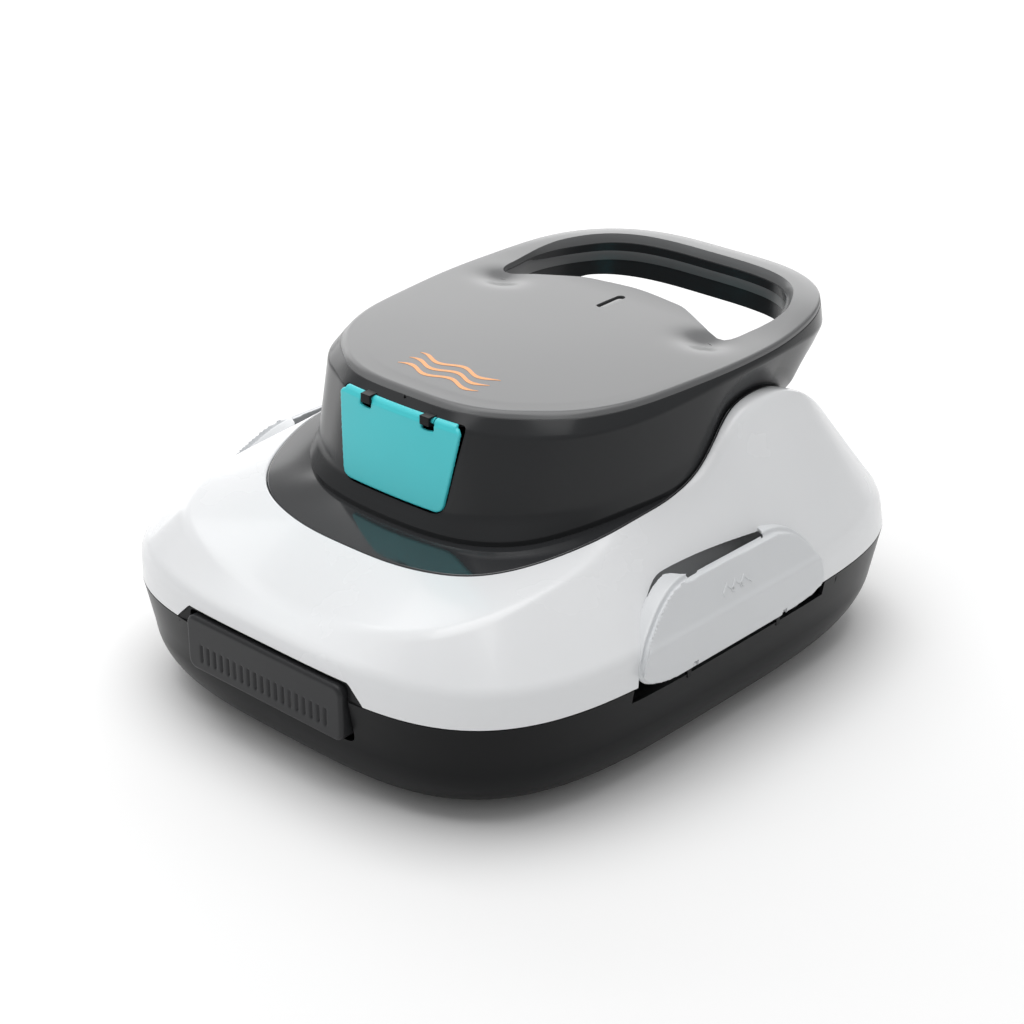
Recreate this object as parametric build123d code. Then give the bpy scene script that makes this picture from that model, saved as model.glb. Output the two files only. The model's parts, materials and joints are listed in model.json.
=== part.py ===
from build123d import *
import math
import os

os.makedirs("parts", exist_ok=True)

# ---------------------------------------------------------------------------
# Cordless pool-floor cleaner.
# Frame: origin on the ground under the middle of the hull, +Z up, the front
# (suction travel) end at -Y, the carrying handle at +Y, +X to the right.
# Plan and height tables are drawn for a 430 unit long hull with z = 0 on the
# parting line between the white cover and the black tray; SCALE brings them
# to millimetres.
# ---------------------------------------------------------------------------
BODY_LENGTH = 400.0                 # hull length over the rim
SCALE = BODY_LENGTH / 430.0
WALL = 2.6                          # moulded wall thickness
GROUND_GAP = 3.0                    # hull bottom above the ground
TRAY_DEPTH = 65.85 * SCALE          # parting line down to the tray bottom
PL = GROUND_GAP + TRAY_DEPTH        # parting line above the ground

WHEEL_R = 13.0
WHEEL_W = 12.0
WHEEL_X = 92.0
WHEEL_Y = 128.0
AXLE_R = 2.0
RUN = 0.06                          # radial running clearance

INLET_Y = 78.0                      # suction mouths, centre distance from the middle
INLET_HX = 55.0                     # half length of a mouth
INLET_HY = 8.0                      # half width of a mouth
DUCT_TOP = 26.0                     # top of the inlet chimneys

FILTER_HX = 118.0
FILTER_HY = 150.0
FILTER_Z = 53.0
FILTER_T = 6.0

JET_Z = 152.0                       # height of the motor and propeller axis
MOTOR_Y = 4.0
PROP_R = 23.5
JET_R = 25.0                        # bore of the jet ducts
SHAFT_R = 2.5

FLAP_ZT = PL + 122.2 * SCALE        # outlet flap, top edge
FLAP_ZB = PL + 68.8 * SCALE         # outlet flap, bottom edge
FLAP_HT = 47.2 * SCALE              # half width at the top
FLAP_HB = 36.1 * SCALE              # half width at the bottom
FLAP_T = 2.4
FLAP_LEAN = 7.0                     # degrees, lower edge outwards
FRONT_HINGE = (-95.7, FLAP_ZT + 0.5)     # y, z of the front flap's hinge line
REAR_HINGE = (106.9, 172.4)              # y, z of the rear flap's hinge line

LATCH_PIVOT = (175.6 * SCALE, PL - 4.0)  # x, z of the side latch hinge line
PAD_TRAVEL = 2.5                    # bumper pad, inwards
BUTTON_TRAVEL = 1.5                 # power button, down
LIFT = 120.0                        # upper part, off the tray

N = 40                              # points round a ring


def z_at(z):
    return PL + z * SCALE


# ---------------------------------------------------------------------------
# Plan curves, right half from the front middle to the rear middle (x, y, z)
# ---------------------------------------------------------------------------
T_CREASE = [(0, -191, 26.5), (46, -191, 30.5), (80, -190.5, 38), (104, -184, 44.5),
            (121, -167, 50), (130, -143, 54.5), (132.5, -112, 57.5), (132, -70, 61.5),
            (131.5, -32, 64.5), (131, 0, 69.5), (131, 24, 80), (130.5, 42, 97),
            (130, 55, 107.5), (129.5, 80, 110.5), (128.5, 108, 107.5), (125, 137, 91),
            (116, 163, 68), (100, 181, 50), (78, 189, 39), (45, 191, 30.5), (0, 191, 26.5)]
T_INNER = [(0, -147, 49.5), (35, -146, 49.8), (62, -141, 51), (85, -133, 53.5),
           (100, -120.5, 56.5), (110.5, -104, 59.5), (117.5, -87, 62.3), (124, -64, 66),
           (126, -35, 69), (126.5, -3, 72), (126, 22, 80.5), (124.5, 39, 95.5),
           (122, 52, 107), (119, 78, 110.5), (115, 105, 105.5), (108, 130, 94),
           (97, 146, 80), (80, 154, 66), (58, 157, 56), (32, 158, 51), (0, 158, 50)]
T_COLLAR = [(0, -116, 58), (30, -115.2, 58.5), (52, -112.5, 59.5), (65, -109, 60.5),
            (76, -103, 61), (87, -96, 62.5), (95, -88, 64), (104, -74, 66.5),
            (112, -55, 69), (118, -33, 71.5), (122, -10, 73), (124, 5, 75),
            (124, 22, 80.3), (122.3, 39, 95), (119.8, 52, 106.5), (116.8, 78, 110),
            (112.8, 104, 105), (106, 127, 94), (95, 138, 80), (80, 142, 66),
            (58, 144, 58), (0, 145, 56)]
T_SHOULDER = [(0, -103, 121.5), (30, -103, 121.5), (48, -100, 121), (61, -92.5, 120.5),
              (76, -84, 120.3), (90, -75, 121), (103, -60, 121.5), (112, -40, 122),
              (118, -15, 123), (121, 15, 125), (122.5, 45, 127), (123, 72, 128),
              (122.3, 97, 128.5), (119.5, 124, 128), (113.5, 152, 126), (104.5, 172, 124),
              (93.5, 187, 122.5), (75, 201, 121.5), (48.5, 210, 121), (0, 212, 121)]
T_TOP = [(0, -93), (30, -92), (47, -88.5), (64, -81), (77, -71), (89, -61), (99, -48.5),
         (106.5, -33.5), (112, -17), (115.3, 4), (117.8, 26), (120, 48), (121, 72),
         (120.5, 97), (118, 123), (112, 150), (103, 170), (92, 185), (74, 199),
         (48, 208), (0, 210)]
# hand opening: rear edge of the tongue, the two ends, front edge of the grip bar
T_HAND = [(0, 116), (28, 113), (44, 110), (57, 103), (69, 95), (80, 87), (89, 84), (94.5, 90),
          (95.5, 104), (97, 118), (94, 136), (86, 155), (74, 172), (58, 181.5), (37, 186),
          (0, 187)]
V_REAR = [(105, 71), (97, 77), (86, 78.5), (76, 83.5), (66, 91), (54, 98.5), (42, 105),
          (28, 108.5), (0, 111)]
V_TOP = [(0, -89), (30, -88), (47, -84.5), (62, -77.5), (75, -67.5), (86, -57.5),
         (95.5, -46), (103, -31.5), (108.5, -15.5), (111.8, 4), (114, 26), (115, 45),
         (112, 60)] + V_REAR
V_MID = [(0, -99.3), (30, -99.3), (47, -96.2), (59, -88.8), (74, -80.5), (87.5, -72),
         (99.5, -58), (108, -39), (114, -14.5), (117, 15), (118.3, 38), (115, 58)] + V_REAR
V_LOW = [(0, -112), (30, -111.2), (50, -109), (62.5, -105.3), (73.5, -99.5), (84, -92.6),
         (91.5, -85), (100.5, -71.5), (108, -53.5), (114, -32.5), (118, -10), (119.5, 8),
         (119.5, 22), (118, 38), (114.5, 58)] + V_REAR


def top_z(y):
    """Tilted plane of the top panel, table units."""
    return 131.6 + 0.0221 * (y + 93.0)


def smooth(points, m=10):
    """Closed centripetal Catmull-Rom curve through the points."""
    out = []
    n = len(points)
    for i in range(n):
        p0, p1, p2, p3 = (points[(i - 1) % n], points[i], points[(i + 1) % n],
                          points[(i + 2) % n])
        t = [0.0]
        for a, b in ((p0, p1), (p1, p2), (p2, p3)):
            t.append(t[-1] + max(math.dist(a, b), 1e-6) ** 0.5)
        for k in range(m):
            s = t[1] + (t[2] - t[1]) * k / m

            def mix(a, b, ta, tb):
                return tuple(((tb - s) * u + (s - ta) * v) / (tb - ta) for u, v in zip(a, b))
            a1, a2, a3 = mix(p0, p1, t[0], t[1]), mix(p1, p2, t[1], t[2]), mix(p2, p3, t[2], t[3])
            b1, b2 = mix(a1, a2, t[0], t[2]), mix(a2, a3, t[1], t[3])
            out.append(mix(b1, b2, t[1], t[2]))
    return out


def full(half):
    return list(half) + [(-p[0],) + tuple(p[1:]) for p in half[-2:0:-1]]


def ring_from(half, cy=0.0, zc=None, n=N):
    """Sample a symmetric closed table curve at even polar angles about (0, cy)."""
    pts = full([tuple(p) if len(p) == 3 else (p[0], p[1], 0.0) for p in half])
    dense = smooth(pts)
    dense.append(dense[0])
    ang = []
    last = None
    for p in dense:
        a = math.atan2(p[1] - cy, p[0]) + math.pi / 2
        if last is None:
            a = 0.0
        else:
            while a < last - math.pi:
                a += 2 * math.pi
            while a > last + math.pi:
                a -= 2 * math.pi
        ang.append(a)
        last = a
    out = []
    for i in range(n):
        want = 2 * math.pi * i / n
        for k in range(len(ang) - 1):
            if ang[k] <= want <= ang[k + 1] + 1e-12 and ang[k + 1] > ang[k]:
                f = (want - ang[k]) / (ang[k + 1] - ang[k])
                p = tuple(u + f * (v - u) for u, v in zip(dense[k], dense[k + 1]))
                break
        if i == 0 or i * 2 == n:
            p = (0.0, p[1], p[2])
        z = p[2] if zc is None else (zc(p[1]) if callable(zc) else zc)
        out.append((p[0], p[1], z))
    for i in range(1, n // 2):
        q = out[i]
        out[n - i] = (-q[0], q[1], q[2])
    return out


def oval(a, b_front, n_front, b_rear, n_rear, z, n=N):
    """Superellipse ring with its own exponent at each end."""
    out = []
    for i in range(n):
        ph = -math.pi / 2 + 2 * math.pi * i / n
        c, s = abs(math.cos(ph)), abs(math.sin(ph))
        b, e = (b_front, n_front) if math.sin(ph) < 0 else (b_rear, n_rear)
        r = ((c / a) ** e + (s / b) ** e) ** (-1.0 / e)
        x = r * math.cos(ph)
        out.append((0.0 if i in (0, n // 2) else x, r * math.sin(ph), z))
    return out


def inset(pts, d, dz=0.0):
    """Move a ring inward in plan by d and down by dz."""
    out = []
    n = len(pts)
    for i in range(n):
        a, b = pts[i - 1], pts[(i + 1) % n]
        tx, ty = b[0] - a[0], b[1] - a[1]
        L = math.hypot(tx, ty)
        out.append((pts[i][0] - ty / L * d, pts[i][1] + tx / L * d, pts[i][2] - dz))
    return out


def blend(p, q, f):
    return [tuple(u + f * (v - u) for u, v in zip(a, b)) for a, b in zip(p, q)]


def edge(pts, raw=False):
    """Closed smooth edge; table units unless raw."""
    vs = [Vector(*p) if raw else Vector(p[0] * SCALE, p[1] * SCALE, z_at(p[2])) for p in pts]
    return Edge.make_spline(vs, periodic=True,
                            parameters=[i / len(vs) for i in range(len(vs) + 1)])


def fix(s):
    if s.volume < 0:
        s = Solid(s.wrapped.Reversed())
    return s


def ring_solid(rings, raw=False):
    """Closed ring-shaped solid whose cross-section corners are the rings, in order."""
    es = [edge(r, raw) for r in rings]
    fs = [Face.make_surface_from_curves(es[i], es[(i + 1) % len(es)]) for i in range(len(es))]
    return fix(Solid(Shell(fs)))


def capped(rings, raw=False):
    """Solid through the rings, closed by planar faces on the first and the last."""
    es = [edge(r, raw) for r in rings]
    fs = [Face.make_surface_from_curves(es[i], es[i + 1]) for i in range(len(es) - 1)]
    fs += [Face(Wire([es[0]])), Face(Wire([es[-1]]))]
    return fix(Solid(Shell(fs)))


def box(x0, x1, y0, y1, z0, z1):
    return Solid.make_box(x1 - x0, y1 - y0, z1 - z0, Plane((x0, y0, z0)))


def cyl_x(r, x0, x1, y, z):
    return Solid.make_cylinder(r, x1 - x0, Plane((x0, y, z), z_dir=(1, 0, 0)))


def cyl_y(r, y0, y1, x, z):
    return Solid.make_cylinder(r, y1 - y0, Plane((x, y0, z), z_dir=(0, 1, 0)))


def cyl_z(r, z0, z1, x, y):
    return Solid.make_cylinder(r, z1 - z0, Plane((x, y, z0), z_dir=(0, 0, 1)))


def prism_x(pts, x0, x1):
    """Prism along X from (y, z) points in millimetres."""
    w = Wire.make_polygon([(x0, y, z) for y, z in pts], close=True)
    return Solid.extrude(Face(w), Vector(x1 - x0, 0, 0))


def prism_y(pts, y0, y1):
    """Prism along Y from (x, z) points in millimetres."""
    w = Wire.make_polygon([(x, y0, z) for x, z in pts], close=True)
    return Solid.extrude(Face(w), Vector(0, y1 - y0, 0))


def prism_z(pts, z0, z1):
    w = Wire.make_polygon([(x, y, z0) for x, y in pts], close=True)
    return Solid.extrude(Face(w), Vector(0, 0, z1 - z0))


def solids(shape):
    if isinstance(shape, (list, tuple)):
        out = []
        for s in shape:
            out += solids(s)
        return out
    if isinstance(shape, Solid):
        return [shape]
    return list(shape.solids())


def pack_up(s):
    s = solids(s)
    return s[0] if len(s) == 1 else Compound(s)


def cut(a, *tools):
    return pack_up(a.cut(*tools))


def join(a, *others):
    return pack_up(a.fuse(*others))


def common(a, b):
    return pack_up(a.intersect(b))


def mirror_x(shape):
    return shape.mirror(Plane.YZ)


def mirror_y(shape):
    return shape.mirror(Plane.XZ)


NODES = {}


def out(name, shape):
    s = solids(shape)
    NODES[name] = s[0] if len(s) == 1 else Compound(s)


# ---------------------------------------------------------------------------
# Lower tray
# ---------------------------------------------------------------------------
A_HALF, B_HALF = 178.9, 215.0


def tray_inset(z):
    """Wall inset of the tray at table height z (0 at the rim, negative down)."""
    if z >= -29.69:
        return 4.98 * (-z / 29.69)
    t = min(1.0, (-29.69 - z) / 36.16)
    return 4.98 + 30.85 * (1.0 - math.sqrt(max(0.0, 1.0 - t * t)))


def tray_ring(z, extra=0.0):
    i = tray_inset(z) + extra
    f = min(1.0, max(0.0, (-z - 29.69) / 36.16))
    nf = 3.89 + (3.6 - 3.89) * f
    nr = 4.32 + (3.6 - 4.32) * f
    return oval(A_HALF - i, B_HALF - i, nf, B_HALF - i, nr, z)


W = WALL / SCALE
LEVELS = [-0.3, -15.0, -29.69] + [-29.69 - 36.16 * math.sin(math.radians(a))
                                  for a in (20, 38, 54, 68, 80)] + [-65.85]
outer = [tray_ring(z) for z in LEVELS]
inner = []
for z in LEVELS[:-1]:
    inner.append([(x, y, max(zz, -65.85 + W)) for x, y, zz in tray_ring(z, W)])
inner = [r for r in inner if r[0][2] > -65.85 + W + 0.5]
inner.append([(x, y, -65.85 + W) for x, y, _ in tray_ring(-65.0, W + 1.0)])

es_o = [edge(r) for r in outer]
es_i = [edge(r) for r in inner]
faces = [Face.make_surface_from_curves(es_o[i], es_o[i + 1]) for i in range(len(es_o) - 1)]
faces += [Face.make_surface_from_curves(es_i[i], es_i[i + 1]) for i in range(len(es_i) - 1)]
faces += [Face(Wire([es_o[-1]])), Face(Wire([es_i[-1]])),
          Face.make_surface_from_curves(es_o[0], es_i[0])]
tray = fix(Solid(Shell(faces)))

# bumper recess walls at both ends, with the raised centre tab that fills the
# notch in the cover's lower edge
pad_hx = 66.0 * SCALE
rec_hx = 68.4 * SCALE
z_pad0, z_pad1 = z_at(-27.0), z_at(8.6)
rec_z0, rec_z1 = z_at(-29.2), z_at(10.4)
rec_y = 201.0 * SCALE
add, sub = [], []
tab = prism_y([(-78.2 * SCALE, z_at(-8)), (78.2 * SCALE, z_at(-8)), (78.2 * SCALE, z_at(-0.2)),
               (66.6 * SCALE, z_at(10.8)), (-66.6 * SCALE, z_at(10.8)),
               (-78.2 * SCALE, z_at(-0.2))], -212.6 * SCALE, -rec_y + WALL)
pocket = box(-rec_hx - WALL, rec_hx + WALL, -207.6 * SCALE, -rec_y + WALL, rec_z0 - WALL,
             z_at(-0.4))
recess = box(-rec_hx, rec_hx, -230, -rec_y, rec_z0, rec_z1 + 12)
guide_y, guide_x = rec_y, 40.0
bores = [cyl_y(2.8, -rec_y - 1, -rec_y + WALL + 2, x, z_at(-9)) for x in (-guide_x, guide_x)]
for m in ((lambda s: s), mirror_y):
    add += [m(pocket), m(tab)]
    sub += [m(recess)] + [m(b) for b in bores]

# ledge under each side latch, with two hinge knuckles
knuckle_y = (-48.6, 36.4)
for m in ((lambda s: s), mirror_x):
    add.append(m(box(158 * SCALE, 175.4 * SCALE, -58 * SCALE, 58 * SCALE, z_at(-14), z_at(-0.4))))
    add.append(m(box(158 * SCALE, 173.6 * SCALE, -98.5 * SCALE, -58 * SCALE, z_at(-14), z_at(-0.4))))
    add.append(m(box(158 * SCALE, 173.9 * SCALE, 58 * SCALE, 86.5 * SCALE, z_at(-14), z_at(-0.4))))
    sub.append(m(box(161.5 * SCALE, 190 * SCALE, -96 * SCALE, 84 * SCALE, z_at(-9.5), z_at(5))))

# wheel wells
for sx in (-1, 1):
    for sy in (-1, 1):
        x, y = sx * WHEEL_X, sy * WHEEL_Y
        add.append(box(x - 10.5, x + 10.5, y - 18, y + 18, 4, 31.5))
        sub.append(box(x - 8, x + 8, y - 15.5, y + 15.5, 0, 29))
        sub.append(cyl_x(AXLE_R, x - 11, x + 11, y, WHEEL_R))
# suction mouths and filter posts
for sy in (-1, 1):
    sub.append(box(-INLET_HX, INLET_HX, sy * INLET_Y - INLET_HY, sy * INLET_Y + INLET_HY, 0, 12))
for sx in (-1, 1):
    for y in (-90.0, 0.0, 90.0):
        add.append(cyl_z(4.0, 4.5, FILTER_Z, sx * 112, y))
# rest pad in the middle of the underside
add.append(box(-40, 40, -30, 30, 2.2, 4.5))
tray = join(tray, *add)
tray = cut(tray, *sub)
k_add, k_sub = [], []
for m in ((lambda s: s), mirror_x):
    for y in knuckle_y:
        k_add.append(m(join(box(173.2 * SCALE, 177.4 * SCALE, y * SCALE, (y + 3.4) * SCALE,
                                z_at(-12), LATCH_PIVOT[1]),
                            cyl_y(2.6, y * SCALE, (y + 3.4) * SCALE, *LATCH_PIVOT))))
        k_sub.append(m(cyl_y(1.5, y * SCALE - 1, (y + 3.4) * SCALE + 1, *LATCH_PIVOT)))
tray = join(tray, *k_add)
tray = cut(tray, *k_sub)
out("lower_tray", tray)

out("axle_pins", [cyl_x(AXLE_R, sx * WHEEL_X - 10.5, sx * WHEEL_X + 10.5, sy * WHEEL_Y, WHEEL_R)
                  for sx in (-1, 1) for sy in (-1, 1)])
for sx, sn in ((-1, "left"), (1, "right")):
    for sy, fn in ((-1, "front"), (1, "rear")):
        x, y = sx * WHEEL_X, sy * WHEEL_Y
        hub = join(cyl_x(WHEEL_R - 3, x - 5.5, x + 5.5, y, WHEEL_R),
                   cyl_x(4.2, x - 7.2, x + 7.2, y, WHEEL_R))
        holes = [cyl_x(AXLE_R + RUN, x - 9, x + 9, y, WHEEL_R)]
        for k in range(6):
            a = math.radians(60 * k)
            holes.append(cyl_x(1.6, x - 9, x + 9, y + 6.9 * math.cos(a),
                               WHEEL_R + 6.9 * math.sin(a)))
        out(f"wheel_{fn}_{sn}", cut(hub, *holes))
        out(f"tyre_{fn}_{sn}", cut(cyl_x(WHEEL_R, x - 6, x + 6, y, WHEEL_R),
                                   cyl_x(WHEEL_R - 3, x - 7, x + 7, y, WHEEL_R)))

# inlet chimneys with a flap valve each
for sy, fn in ((-1, "front"), (1, "rear")):
    y0 = sy * INLET_Y
    hy = sy * (INLET_Y - 13.5)                   # hinge line, towards the middle
    zf = GROUND_GAP + WALL
    duct = box(-INLET_HX - 2, INLET_HX + 2, y0 - INLET_HY - 2, y0 + INLET_HY + 2, zf, DUCT_TOP)
    duct = join(duct, box(-INLET_HX - 8, INLET_HX + 8, y0 - INLET_HY - 7, y0 + INLET_HY + 7,
                          zf, zf + 2))
    for sx in (-1, 1):
        xa, xb = sorted((sx * 59.0, sx * 62.0))
        xc, xd = sorted((sx * 55.0, sx * 62.0))
        ear = prism_x([(y0, DUCT_TOP - 12), (y0, DUCT_TOP - 1), (hy - sy * 3.2, DUCT_TOP + 5.2),
                       (hy - sy * 3.2, DUCT_TOP - 1.5)], xa, xb)
        web = prism_x([(y0, DUCT_TOP - 12), (y0, DUCT_TOP - 2), (y0 - sy * 6, DUCT_TOP - 2),
                       (y0 - sy * 6, DUCT_TOP - 10)], xc, xd)
        duct = join(duct, ear, web)
    duct = cut(duct, box(-INLET_HX, INLET_HX, y0 - INLET_HY, y0 + INLET_HY, 0, 60))
    duct = cut(duct, cyl_x(1.5 + RUN, -70, 70, hy, DUCT_TOP + 2.2))
    out(f"inlet_duct_{fn}", duct)
    ya, yb = sorted((hy, y0 + sy * (INLET_HY + 3)))
    flap = box(-57.5, 57.5, ya, yb, DUCT_TOP + 0.15, DUCT_TOP + 1.9)
    flap = join(flap, cyl_x(1.5, -62.5, 62.5, hy, DUCT_TOP + 2.2))
    out(f"inlet_flap_{fn}", flap)

strips = []
for sy in (-1, 1):
    for dy in (-12.0, 12.0):
        y = sy * INLET_Y + dy
        strips.append(box(-62, 62, y - 1.2, y + 1.2, 0.8, GROUND_GAP))
out("bottom_scrapers", strips)

# spring-loaded bumper pads
pad_y0, pad_y1 = -217.2 * SCALE, -rec_y - 3.6
pad = box(-pad_hx, pad_hx, pad_y0, pad_y1, z_pad0, z_pad1)
pad = pad.fillet(6.0, [e for e in pad.edges() if abs(e.tangent_at(0.5).Y) > 0.9])
pad = pad.chamfer(1.4, None, [e for e in pad.edges() if abs(e.center().Y - pad_y0) < 0.01])
pad = cut(pad, *[box(x - 0.8, x + 0.8, pad_y0 - 1, pad_y0 + 1.2, z_at(-20), z_at(-8.5))
                 for x in [(-53.0 + 106.0 * i / 18) * SCALE for i in range(19)]])
pad = join(pad, *[cyl_y(2.5, pad_y1 - 2, -rec_y + 7.5, x, z_at(-9)) for x in (-guide_x, guide_x)])
out("bumper_pad_front", pad)
out("bumper_pad_rear", mirror_y(pad))
springs = [cut(cyl_y(4.2, -rec_y - 3.5, -rec_y - 0.1, x, z_at(-9)),
               cyl_y(3.2, -rec_y - 9, -rec_y + 5, x, z_at(-9))) for x in (-guide_x, guide_x)]
out("bumper_springs_front", springs)
out("bumper_springs_rear", [mirror_y(sp) for sp in springs])

# filter cassette
fz = FILTER_Z + 0.1


def plan_frame(hx, hy, w, z0, z1):
    a = box(-hx, hx, -hy, hy, z0, z1)
    a = a.fillet(24.0, [e for e in a.edges() if abs(e.tangent_at(0.5).Z) > 0.9])
    b = box(-hx + w, hx - w, -hy + w, hy - w, z0 - 1, z1 + 1)
    b = b.fillet(16.0, [e for e in b.edges() if abs(e.tangent_at(0.5).Z) > 0.9])
    return a, b


fa, fb = plan_frame(FILTER_HX, FILTER_HY, 11.0, fz, fz + FILTER_T)
frame_f = cut(fa, fb)
for y in (-70.0, 0.0, 70.0):
    frame_f = join(frame_f, box(-FILTER_HX + 5, FILTER_HX - 5, y - 2.5, y + 2.5, fz + 1.4, fz + FILTER_T))
frame_f = join(frame_f, box(-2.5, 2.5, -FILTER_HY + 5, FILTER_HY - 5, fz + 1.4, fz + FILTER_T))
frame_f = cut(frame_f, common(box(-FILTER_HX + 8, FILTER_HX - 8, -FILTER_HY + 8, FILTER_HY - 8,
                                  fz + 0.4, fz + 1.4), fa))
out("filter_frame", frame_f)
ma, mb = plan_frame(FILTER_HX - 8, FILTER_HY - 8, 11.0, fz + 0.4, fz + 1.4)
out("filter_mesh", common(ma, box(-FILTER_HX + 8, FILTER_HX - 8, -FILTER_HY + 8, FILTER_HY - 8, fz + 0.4, fz + 1.4)))

# ---------------------------------------------------------------------------
# White cover
# ---------------------------------------------------------------------------
rA = oval(A_HALF, B_HALF, 3.89, B_HALF, 4.32, 0.0)
rB = oval(A_HALF, 213.0, 4.0, 213.0, 4.1, 20.0)
rD = ring_from(T_CREASE)
rE = ring_from(T_INNER)
rP = inset([(x, y, 44.0) for x, y, z in rE], 1.2)
rA2 = inset(rA, W)
rB2 = inset(rB, W, 1.0)
rD2 = blend(rD, rE, 0.30)
rD2 = [(x, y, z - 3.4) for x, y, z in rD2]
rE2 = blend(rE, rD, 0.30)
rE2 = [(x, y, z - 3.4) for x, y, z in rE2]
rP2 = inset([(x, y, 41.0) for x, y, z in rE], -1.6)
rP3 = inset([(x, y, 41.0) for x, y, z in rE], 1.2)
cover = ring_solid([rA, rB, rD, rE, rP, rP3, rP2, rE2, rD2, rB2, rA2])
cover_outer = capped([rA, rB, rD, rE, rP])

LATCH_OUT = [(-92, 8.5), (-91, 13), (-86.5, 20), (-78, 27), (-67, 34.5), (-57, 40), (-49, 43.2), (-42, 44.6),
             (34, 44.6), (44, 44.2), (51, 42.4), (58, 39.2), (65.5, 32.3), (71, 25), (75, 17.5), (77, 10.5),
             (76, 5), (70, 1.2), (60, -1.2), (39.8, -2.8), (-50, -3), (-72, -2), (-84, 2), (-90.5, 5.5)]


def grow(poly, d):
    """Offset a counter-clockwise or clockwise polygon outwards by d."""
    n = len(poly)
    area = sum(poly[i][0] * poly[(i + 1) % n][1] - poly[(i + 1) % n][0] * poly[i][1] for i in range(n))
    sgn = 1 if area > 0 else -1
    res = []
    for i in range(n):
        a, b = poly[i - 1], poly[(i + 1) % n]
        tx, ty = b[0] - a[0], b[1] - a[1]
        L = math.hypot(tx, ty)
        res.append((poly[i][0] + sgn * ty / L * d, poly[i][1] - sgn * tx / L * d))
    return res


def latch_mm(poly):
    return [(y * SCALE, z_at(z)) for y, z in poly]


# the pocket runs straight down to the rim, so the cover lifts off past the latch
pocket_poly = [q for q in grow(LATCH_OUT, 1.2) if q[1] > 8.0] + [(78.3, -6.0), (-93.3, -6.0)]
pan_poly = grow(pocket_poly, W)
hole = prism_x(latch_mm(pocket_poly), 144.5 * SCALE, 200 * SCALE)
pan = cut(prism_x(latch_mm(pan_poly), 141.5 * SCALE, 190 * SCALE), hole,
          box(0, 400, -300, 300, 0, PL + 0.01))
pan = common(cover_outer, pan)
hw = prism_y([(-79.3 * SCALE, z_at(-2)), (79.3 * SCALE, z_at(-2)), (79.3 * SCALE, z_at(0)),
              (67.3 * SCALE, z_at(11.4)), (-67.3 * SCALE, z_at(11.4)), (-79.3 * SCALE, z_at(0))],
             -230, 230)
cover = cut(cover, hole, mirror_x(hole), hw)
cover = join(cover, pan, mirror_x(pan))
out("white_cover", cover)

# side latches: a wide pull tab on two hinge stubs
prof = [(174.4, -2.6), (181.6, -3.0), (182.8, 4.0), (182.0, 22.5), (180.2, 24.0),
        (171.0, 45.5), (158.0, 45.5), (158.0, 38.0), (164.5, 31.0), (172.0, 22.0), (174.4, 14.0)]
back = [(150.0, -9.0), (175.5, -9.0), (176.8, 4.0), (175.4, 23.0), (166.4, 43.0), (166.4, 60.0), (150.0, 60.0)]
body = prism_y([(x * SCALE, z_at(z)) for x, z in prof], -96 * SCALE, 84 * SCALE)
latch = common(body, prism_x(latch_mm(LATCH_OUT), 140 * SCALE, 200 * SCALE))
back_mm = [(x * SCALE, z_at(z)) for x, z in back]
hollow = common(prism_y(back_mm, -96 * SCALE, 84 * SCALE),
                prism_x(latch_mm(grow(LATCH_OUT, -3.0)), 140 * SCALE, 200 * SCALE))
finger = cut(prism_y(back_mm, -40 * SCALE, 34 * SCALE), box(100, 200, -100, 100, 0, z_at(30)))
latch = cut(latch, hollow, finger)
eyes = [cyl_y(2.9, y0 * SCALE, y1 * SCALE, *LATCH_PIVOT)
        for y0, y1 in ((-44.6, -38), (29, 35.8))]
webs = [box(174.6 * SCALE, 179.5 * SCALE, y0 * SCALE, y1 * SCALE, LATCH_PIVOT[1], z_at(1))
        for y0, y1 in ((-44.6, -38), (29, 35.8))]
slots = [box(170 * SCALE, 190 * SCALE, (y - 0.6) * SCALE, (y + 4.0) * SCALE, z_at(-8), z_at(0.6))
         for y in (-48.6, 36.4)]
latch = cut(latch, *slots)
latch = join(latch, *webs, *eyes)
latch = cut(latch, *[cyl_y(1.5 + RUN, y0 * SCALE - 1, y1 * SCALE + 1, *LATCH_PIVOT)
                     for y0, y1 in ((-44.6, -38), (29, 35.8))])
out("latch_right", latch)
out("latch_left", mirror_x(latch))
pins = [cyl_y(1.5, y0 * SCALE, y1 * SCALE, *LATCH_PIVOT) for y0, y1 in ((-48.6, -38.4), (29.4, 39.8))]
out("latch_pins", pins + [mirror_x(p) for p in pins])

# ---------------------------------------------------------------------------
# Dark head: deck, housing, top panel and carrying handle
# ---------------------------------------------------------------------------
HC = 40.0
rF = ring_from(T_COLLAR, HC)
rG = ring_from(T_SHOULDER, HC)
rH = ring_from(T_TOP, HC, top_z)
rP0 = inset([(x, y, 46.0) for x, y, z in rF], 2.0)
head_outer = capped([rP0, rF, rG, rH])
void = capped([[(x, y, 40.0) for x, y, z in ring_from(V_LOW, 20.0)],
               [(x, y, 62.0) for x, y, z in ring_from(V_LOW, 20.0)],
               [(x, y, 121.0) for x, y, z in ring_from(V_MID, 20.0)],
               ring_from(V_TOP, 20.0, lambda y: top_z(y) - 3.0 / SCALE)])
hand_pts = [Vector(x * SCALE, y * SCALE, z_at(30)) for x, y in full(T_HAND)]
hand = Solid.extrude(Face(Wire([Edge.make_spline(hand_pts, periodic=True)])), Vector(0, 0, 160))
under = prism_x([(230 * SCALE, z_at(30)), (148 * SCALE, z_at(30)), (146 * SCALE, z_at(66)),
                 (139 * SCALE, z_at(90)), (145 * SCALE, z_at(105)), (153 * SCALE, z_at(112.5)),
                 (165 * SCALE, z_at(114)), (230 * SCALE, z_at(112.5))], -140, 140)
head = cut(head_outer, void, hand, under)


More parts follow.
